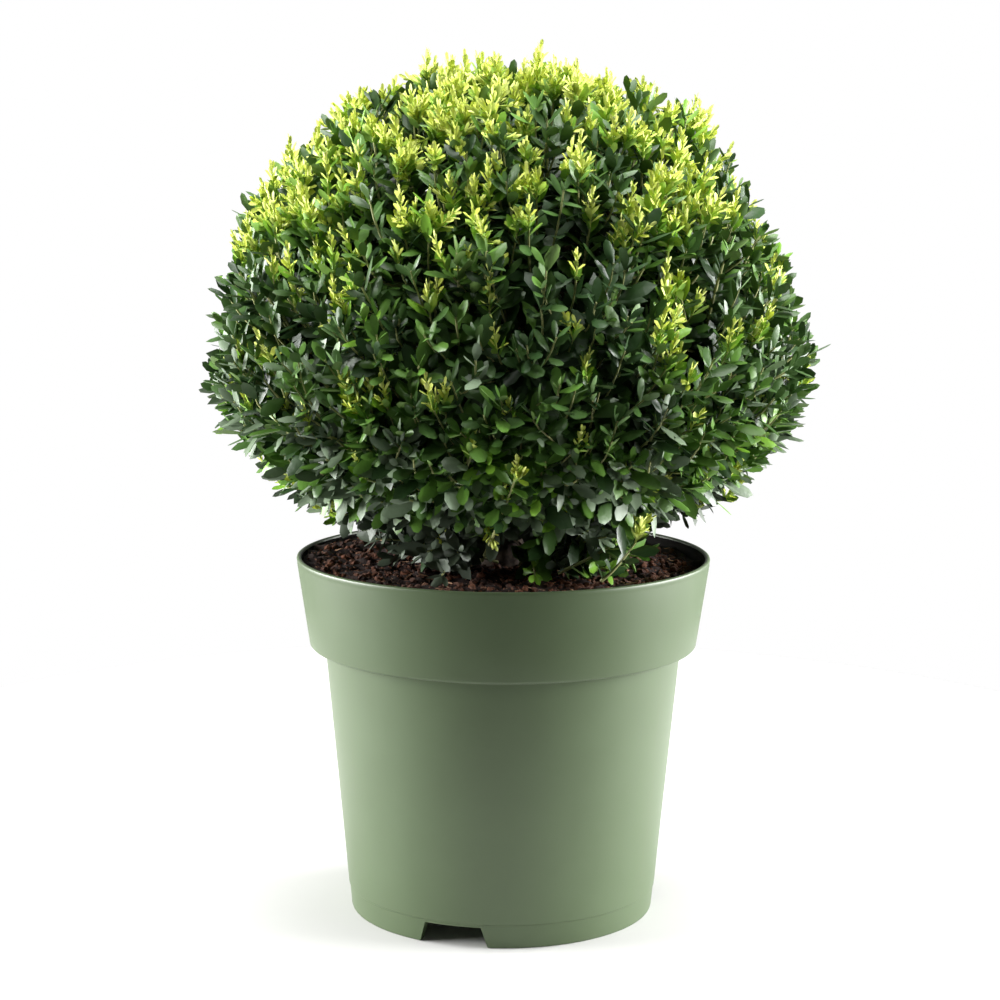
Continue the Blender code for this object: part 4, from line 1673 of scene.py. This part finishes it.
    def grow_branches(self) -> dict[str, list[list[Vector]]]:
        """Grows the stems and the branches that the shoots spring from.

        Returns:
            The branches of each mass by the mass's name.
        """
        chance = self.chance
        made: dict[str, list[list[Vector]]] = {mass.name: [] for mass in self.masses}
        for mass in self.masses:
            if mass.zone is not Zone.FOOT:
                stem = bowed_line(mass.door, mass.centre, 0.0, self.stem_steps)
                self.twigs[mass.zone].add(stem, self.stem_radius, self.branch_radius, Wood.OLD)
                self.grow_spurs(mass, self.limbs.bough_path(mass) + stem)
        for index in range(self.hub_count):
            way = golden_way(index, self.hub_count, 1.0, self.band_foot)
            hub = self.crown.spot(way, self.hub_share + chance.uniform(-self.hub_spread, self.hub_spread))
            if hub.z < self.crown.lowest_leaf:
                continue
            mass = self.nearest(hub)
            start = mass.door.lerp(mass.centre, chance.uniform(0.0, self.stem_used))
            pull = start.lerp(hub, 0.5) + mass.away * self.branch_bow + self.jitter(self.branch_bend)
            line = bent_line(start, pull, hub, self.line_steps)
            thin = self.shoot_radius * self.branch_tip_share
            self.twigs[mass.zone].add(line, self.branch_radius, thin, Wood.OLD)
            made[mass.name].append(line)
            self.grow_inner_leaves(mass, line)
        return made

    def grow_inner_leaves(self, mass: Mass, line: Sequence[Vector]) -> None:
        """Sets older, duller leaves on the outer part of a branch.

        Args:
            mass: The mass that the leaves join.
            line: The branch.
        """
        chance = self.chance
        for _ in range(self.inner_leaf_count):
            at = chance.uniform(self.inner_from, 1.0) * (len(line) - 1)
            low = min(int(at), len(line) - 2)
            root = line[low].lerp(line[low + 1], at - low)
            along = (line[low + 1] - line[low]).normalized()
            way = (along * self.inner_along + self.jitter(self.inner_jitter)).normalized()
            spread = self.inner_leaf_spread
            size = self.inner_leaf_length * chance.uniform(1 - spread, 1 + spread)
            if root.z + way.z * size > self.crown.lowest_leaf:
                face = along + UP * self.inner_face_up
                tint = chance.choice((Tint.DEEP, Tint.DARK, Tint.DULL))
                self.leaves[mass.zone].add(root, way, face, size, Form.INNER, tint)

    def grow_spurs(self, mass: Mass, path: Sequence[Vector]) -> None:
        """Grows short leafy spurs along a bough, so that the heart of the ball is closed to the light.

        Args:
            mass: The mass that the spurs join.
            path: The bough, with the mass's stem.
        """
        for _ in range(self.spur_count):
            start = path[self.chance.randrange(len(path) // self.bare_part, len(path))]
            end = start + self.jitter(1.0).normalized() * self.chance.uniform(*self.spur_length)
            if not self.allowed(end, self.hub_share):
                continue
            line = bowed_line(start, end, self.spur_rise, self.short_steps)
            self.twigs[mass.zone].add(line, self.shoot_radius, self.tip_radius, Wood.OLD)
            self.grow_inner_leaves(mass, line)

    def grow_outer_shoot(self, way: Vector, branches: dict[str, list[list[Vector]]]) -> None:
        """Grows one shoot from the nearest branch out to the clipped outline, where it turns upward.

        Args:
            way: The shoot's direction from the ball's middle.
            branches: Every mass's branches.
        """
        crown, chance = self.crown, self.chance
        limed = chance.random() < self.tip_rule.odds(way, crown.height_share(crown.spot(way, 1.0)))
        reach = self.shoot_reach + chance.uniform(-self.shoot_spread, self.shoot_spread)
        if limed:
            high = min(1.0, max(0.0, way.z * self.top_gain))
            reach -= self.low_tip_room + (self.tip_room - self.low_tip_room) * high
        else:
            reach -= self.waist * max(0.0, -way.z) + self.shelter * max(0.0, way.z)
        spot = crown.spot(way, reach * crown.lump(way))
        if spot.z < crown.lowest_leaf + self.shoot_clearance:
            return
        mass = self.nearest(spot)
        height = crown.height_share(spot)
        least, middle, slope, most = self.lift
        lift = min(most, max(least, middle + slope * height))
        out = (spot - crown.centre).normalized()
        aim = (out * (1 - lift) + UP * lift + self.jitter(self.aim_jitter)).normalized()
        foot = spot - aim * self.leafy_length * self.foot_share
        line = min(branches[mass.name], key=lambda branch: (branch[-1] - foot).length)
        start = line[chance.choice(self.shoot_roots)]
        shoot = bent_line(start, spot - aim * (spot - start).length * self.shoot_pull, spot, self.line_steps)
        self.twigs[mass.zone].add(shoot, self.shoot_radius, self.tip_radius, Wood.GREEN)
        self.leaf_out(mass.zone, shoot, height, limed)
        if limed:
            self.grow_tip(mass.zone, shoot[-1], aim, height)

    def walk(self, line: Sequence[Vector], back: float) -> tuple[Vector, Vector] | None:
        """Walks back from a line's tip.

        Args:
            line: The line.
            back: How far to go.

        Returns:
            The place and the line's direction there, or None beyond its root.
        """
        for high, low in zip(line[::-1], line[-2::-1]):
            step = (high - low).length
            if back <= step:
                return high.lerp(low, back / step), (high - low).normalized()
            back -= step
        return None

    def leaf_form(self, index: int) -> Form:
        """The blade of a leaf, by its number from the shoot's tip: those out of sight are all alike."""
        shown = (Form.FLAT, Form.ARCHED, Form.CUPPED, Form.TWISTED)
        return self.chance.choice(shown) if index < self.shaped_leaves else Form.INNER

    def leaf_out(self, zone: Zone, line: Sequence[Vector], height: float, limed: bool) -> None:
        """Sets leaves by the golden angle along a shoot, small at its tip and large behind.

        Args:
            zone: The piece that the leaves join.
            line: The shoot.
            height: How high it is on the ball.
            limed: Whether young leaves follow at its tip.
        """
        chance = self.chance
        spray = self.tint_rule.pick(height, chance)
        away = (line[-1] - self.crown.centre).normalized()
        turn = chance.uniform(0, math.tau)
        back = chance.uniform(*self.first_gap)
        index = 0
        while back < self.leafy_length:
            found = self.walk(line, back)
            if found is None:
                break
            root, along = found
            age = min(1.0, index / self.growing_leaves)
            turn, way = self.leaf_fan.next(turn, along, age, chance)
            way = (way + UP * self.leaf_rise).normalized()
            growth = self.length_growth[0] + self.length_growth[1] * age
            size = self.leaf_length * growth * (1 + chance.gauss(0, self.leaf_spread))
            tint = spray
            if index < self.limed_leaves and limed and zone is not Zone.FOOT:
                tint = Tint.SPRING if chance.random() < self.spring_share * height else Tint.FRESH
            # Leaves further back than the lit ones at a shoot's tip often take the deep tint: painted shade
            # inside the ball.
            elif index > self.lit_leaves and chance.random() < self.deep_share:
                tint = Tint.DEEP
            form = self.leaf_form(index)
            leaf_end = root + way * size
            low = zone is Zone.FOOT and leaf_end.z > self.crown.lowest_leaf
            if low or self.allowed(leaf_end, self.leaf_reach):
                by_stem, by_ball, by_sky, by_chance = self.face_parts
                face = along * by_stem + away * by_ball + UP * by_sky + self.jitter(by_chance)
                self.leaves[zone].add(root, way, face, size, form, tint)
            gap = self.leaf_spacing * (self.spacing_growth[0] + self.spacing_growth[1] * age)
            back += gap * chance.uniform(1 - self.spacing_spread, 1 + self.spacing_spread)
            index += 1

    def grow_tip(self, zone: Zone, start: Vector, aim: Vector, height: float) -> None:
        """Grows the young end of a shoot: a main axis and a few beside it, with small upright leaves.

        Args:
            zone: The piece that the tip joins.
            start: Where the young wood starts.
            aim: Where the shoot points.
            height: How high it is on the ball.
        """
        chance = self.chance
        up = (aim * self.tip_up[0] + UP * self.tip_up[1]).normalized()
        more = max(0.0, height - self.rich_above)
        odds = [self.second_stem + more, *(gain * more for gain in self.more_stems)]
        shortest, longest, usual = self.tip_length
        thick, thin = (self.tip_radius * share for share in self.young_radius_shares)
        for index in range(1 + sum(chance.random() < share for share in odds)):
            lean = up if index == 0 else (up + self.jitter(self.stem_splay)).normalized()
            length = chance.triangular(shortest, longest - self.rich_shortening * more, usual)
            length *= 1.0 if index == 0 else self.side_stem_share
            end = start + lean * length
            line = bent_line(start, start.lerp(end, 0.5) + self.jitter(self.stem_bend), end, self.short_steps)
            self.twigs[zone].add(line, thick, thin, Wood.TIP)
            self.leaf_tip(zone, line, length, height)

    def leaf_tip(self, zone: Zone, line: Sequence[Vector], length: float, height: float) -> None:
        """Sets the small leaves of one young stem, yellow at its end and greener down it.

        Args:
            zone: The piece that the leaves join.
            line: The stem.
            length: Its length.
            height: How high it is on the ball.
        """
        chance = self.chance
        turn = chance.uniform(0, math.tau)
        tone = chance.gauss(0.0, self.tone_spread)
        base, by_age, by_height = self.young_growth
        back = self.young_first_gap
        index = 0
        while back < length:
            root, along = self.walk(line, back) or (line[0], (line[1] - line[0]).normalized())
            share = back / length
            turn, way = self.tip_fan.next(turn, along, share**self.splay_power, chance)
            growth = base + by_age * share + by_height * max(0.0, height)
            size = self.young_length * growth * chance.uniform(1 - self.young_spread, 1 + self.young_spread)
            form = Form.BUD if index < self.bud_leaves else Form.YOUNG
            tint = Tint.SPRING
            if share + tone < self.lime_to:
                tint = Tint.YELLOW if share + tone < self.yellow_to else Tint.LIME
            face = along + self.jitter(self.young_jitter)
            self.tips[zone].add(root, way.normalized(), face, size, form, tint)
            back += chance.uniform(*self.young_gap)
            index += 1

    def grow_low_spray(self, mass: Mass) -> None:
        """Grows one of the low sprays: upright shoots that fan out from its foot on the potting mix.

        Args:
            mass: The spray's mass.
        """
        chance, crown, centre = self.chance, self.crown, mass.centre
        flat = self.low_foot_share
        foot = Vector((centre.x * flat, centre.y * flat, crown.lowest_leaf + self.low_foot_rise))
        stem = bowed_line(mass.root, foot, self.low_stem_rise, self.low_steps)
        thick, thin = self.low_stem_shares
        self.twigs[mass.zone].add(stem, self.stem_radius * thick, self.branch_radius * thin, Wood.OLD)
        middle = centre + Vector((centre.x, centre.y, 0)).normalized() * self.low_lean
        # Sprays at the back or on the left take the tints of the ball's foot, with its painted shade. The one
        # at the front right takes those just under its middle, which are painted lighter.
        height = self.low_tints[0] if centre.y > 0 or centre.x < 0 else self.low_tints[1]
        for index in range(self.low_shoot_count):
            way = golden_way(index, self.low_shoot_count, *self.low_band)
            way.z *= self.low_flatness
            spot = middle + way * self.low_reach * chance.uniform(*self.low_fill)
            spot.z = max(spot.z, crown.lowest_leaf + self.low_clearance)
            in_gap = spot.y < 0 and abs(spot.x) < self.low_gap and spot.z < self.low_gap_top
            if in_gap or math.hypot(spot.x, spot.y) > crown.foot_spread - self.low_margin:
                continue
            aside = [chance.gauss(0, self.low_foot_spread) for _ in range(2)]
            start = foot + Vector((*aside, chance.uniform(0, self.low_foot_depth)))
            line = bowed_line(start, spot, self.low_shoot_rise, self.low_steps)
            self.twigs[mass.zone].add(line, self.shoot_radius, self.tip_radius, Wood.GREEN)
            self.leaf_out(mass.zone, line, height, False)

    def grow_sprig(self, start: Vector, end: Vector) -> None:
        """Grows one of the single shoots with a lime tip that stand out of the low foliage.

        Args:
            start: Where it starts.
            end: Where its young tip starts.
        """
        line = bowed_line(start, end, self.sprig_sag, self.line_steps)
        leafy, young = self.sprig_heights
        self.twigs[Zone.FOOT].add(line, self.shoot_radius * self.sprig_thickness, self.tip_radius, Wood.GREEN)
        self.leaf_out(Zone.FOOT, line, leafy, True)
        self.grow_tip(Zone.FOOT, end, (line[-1] - line[-2]).normalized(), young)

    def leaf_recipe(self, forms: bpy.types.Collection) -> Recipe:
        """Makes the tree that sets a blade on each point and gives its two sides their finishes.

        Args:
            forms: The blades.

        Returns:
            The recipe.
        """
        inputs = {"Leaf Scale": 1.0, "Size Spread": self.size_spread, "Seed": SEED}
        recipe = Recipe("set_leaves", inputs, tuple(FACTS))
        add, given = recipe.add, recipe.given
        limits = {"Seed": given["Seed"]}
        for number, operation in ((2, "SUBTRACT"), (3, "ADD")):
            edge = add("ShaderNodeMath", {"operation": operation, 0: 1.0}, {1: given["Size Spread"]})
            limits[number] = edge.outputs[0]
        size = add("FunctionNodeRandomValue", {"data_type": "FLOAT"}, limits).outputs[1]
        for factor in (given["Leaf Scale"], recipe.facts["size"]):
            size = add("ShaderNodeMath", {"operation": "MULTIPLY"}, {0: size, 1: factor}).outputs[0]
        leaves = recipe.deal(given["Geometry"], forms, recipe.facts["turn"], size)
        recipe.end(leaves, "tint", LEAF_FINISHES)
        return recipe

    def twig_recipe(self) -> Recipe:
        """Makes the tree that gives each twig's line its round and its bark.

        Returns:
            The recipe.
        """
        recipe = Recipe("round_twigs", {"Sides": self.twig_sides, "Thickness": 1.0}, ["size", "tint"])
        add, given = recipe.add, recipe.given
        lines = add("GeometryNodeMeshToCurve", links={"Mesh": given["Geometry"]})
        links = {0: recipe.facts["size"], 1: given["Thickness"]}
        thick = add("ShaderNodeMath", {"operation": "MULTIPLY"}, links)
        ring = add("GeometryNodeCurvePrimitiveCircle", {"Radius": 1.0}, {"Resolution": given["Sides"]})
        links = {"Curve": lines.outputs[0], "Profile Curve": ring.outputs[0], "Scale": thick.outputs[0]}
        skin = add("GeometryNodeCurveToMesh", {"Fill Caps": True}, links)
        recipe.end(skin.outputs[0], "tint", WOOD_FINISHES)
        return recipe

    def build(self) -> None:
        """Turns the grown lists to pieces, each kind apart, zone by zone."""
        forms = shelf("leaf_forms", (BLADES[form].build() for form in Form))
        leaf_recipe, twig_recipe = self.leaf_recipe(forms), self.twig_recipe()
        for zone in Zone:
            nodes = [mass.name for mass in self.masses if mass.zone is zone]
            piece = leaf_recipe.run(f"leaves_{zone.value}", self.leaves[zone].carrier())
            finished(piece, Slot.FOLIAGE, nodes)
            if self.tips[zone].places:
                piece = leaf_recipe.run(f"young_tips_{zone.value}", self.tips[zone].carrier())
                finished(piece, Slot.FOLIAGE)
            piece = twig_recipe.run(f"twigs_{zone.value}", self.twigs[zone].carrier())
            piece.data.shade_smooth()
            finished(piece, Slot.BARK)
        clear_shelf(forms)


# Studio


@dataclass
class Studio:
    """A white table in a room that is dim in front, with soft boxes, seen from the photograph's angle."""

    camera_place: Vector = field(default_factory=lambda: Vector((-0.0024, -1.5967, 0.518)))
    camera_pitch: float = math.radians(81.19)
    camera_roll: float = math.radians(0.306)
    lens_mm: float = 89.12
    sensor_mm: float = 36.0
    table_radius: float = 0.60
    table_shift: float = 0.22
    table_sides: int = 96
    front_light: float = 0.09
    back_light: float = 0.36
    front_edge: float = -0.3
    back_edge: float = 0.5
    target: Vector = field(default_factory=lambda: Vector((0, 0, 0.30)))
    boxes: tuple = (
        ("right_box", (1.6, 0.16, 0.50), (1.5, 0.8), 28.5),
        ("left_box", (-1.6, 0.16, 0.50), (1.5, 0.8), 26.5),
        ("top_box", (0.05, -0.02, 1.3), (1.0, 1.0), 9.5),
    )

    def soft_box(self, name: str, place: Vector, size: tuple[float, float], radiance: float) -> None:
        """Hangs one soft box that looks at the plant.

        Args:
            name: Its name.
            place: Where it hangs.
            size: Its width and height.
            radiance: How bright its face is, where 1 is white paper in full light.
        """
        lamp = bpy.data.lights.new(name, "AREA")
        lamp.shape = "RECTANGLE"
        lamp.size, lamp.size_y = size
        lamp.energy = radiance * math.pi * size[0] * size[1]
        box = bpy.data.objects.new(name, lamp)
        box.location = place
        box.rotation_euler = (self.target - place).to_track_quat("-Z", "Y").to_euler()
        box.visible_camera = False
        bpy.context.scene.collection.objects.link(box)

    def light_room(self) -> None:
        """Makes the room: bright behind the plant, dim in front of it, and white wherever it is seen."""
        world = bpy.data.worlds.new("white_room")
        world.use_nodes = True
        tree, white = world.node_tree, (1, 1, 1, 1)
        tree.nodes.clear()
        way = add_node(tree, "ShaderNodeTexCoord")
        parts = add_node(tree, "ShaderNodeSeparateXYZ", links={0: way.outputs["Generated"]})
        limits = {"From Min": self.front_edge, "From Max": self.back_edge}
        limits.update({"To Min": self.front_light, "To Max": self.back_light})
        depth = add_node(tree, "ShaderNodeMapRange", limits, {"Value": parts.outputs["Y"]})
        light = add_node(tree, "ShaderNodeBackground", {0: white}, {"Strength": depth.outputs["Result"]})
        paper = add_node(tree, "ShaderNodeBackground", {0: white, "Strength": 1.0})
        ray = add_node(tree, "ShaderNodeLightPath")
        links = {0: ray.outputs["Is Camera Ray"], 1: light.outputs[0], 2: paper.outputs[0]}
        seen = add_node(tree, "ShaderNodeMixShader", links=links)
        add_node(tree, "ShaderNodeOutputWorld", links={"Surface": seen.outputs[0]})
        bpy.context.scene.world = world

    def build(self) -> None:
        """Makes the table, the light and the camera."""
        shape = bmesh.new()
        middle = Matrix.Translation((0, self.table_shift, 0))
        bmesh.ops.create_circle(
            shape, cap_ends=True, segments=self.table_sides, radius=self.table_radius, matrix=middle
        )
        table = new_object("studio_table", mesh_of("studio_table", shape))
        table.data.materials.append(FLOOR_PAPER.material())
        self.light_room()
        for name, place, size, radiance in self.boxes:
            self.soft_box(name, Vector(place), size, radiance)
        lens = bpy.data.cameras.new("camera")
        lens.lens = self.lens_mm
        lens.sensor_width = self.sensor_mm
        camera = bpy.data.objects.new("camera", lens)
        camera.location = self.camera_place
        aim = Matrix.Rotation(self.camera_pitch, 4, "X") @ Matrix.Rotation(self.camera_roll, 4, "Z")
        camera.rotation_euler = aim.to_euler()
        bpy.context.scene.collection.objects.link(camera)
        bpy.context.scene.camera = camera
        bpy.context.scene.view_settings.view_transform = "Standard"


def main() -> None:
    """Builds the pot, the potting mix, the wood, the foliage and the studio, in that order."""
    logging.basicConfig(level=logging.INFO, format="%(message)s")
    pot = Pot()
    pot.build()
    mix = PottingMix(pot)
    mix.build_crumbs(mix.build_bed())
    crown, trunk = Crown(), Trunk()
    masses = Masses(crown, trunk).every()
    limbs = Limbs(trunk, masses)
    limbs.build()
    foliage = Foliage(crown, masses, limbs)
    foliage.grow()
    foliage.build()
    Studio().build()


if __name__ == "__main__":
    main()
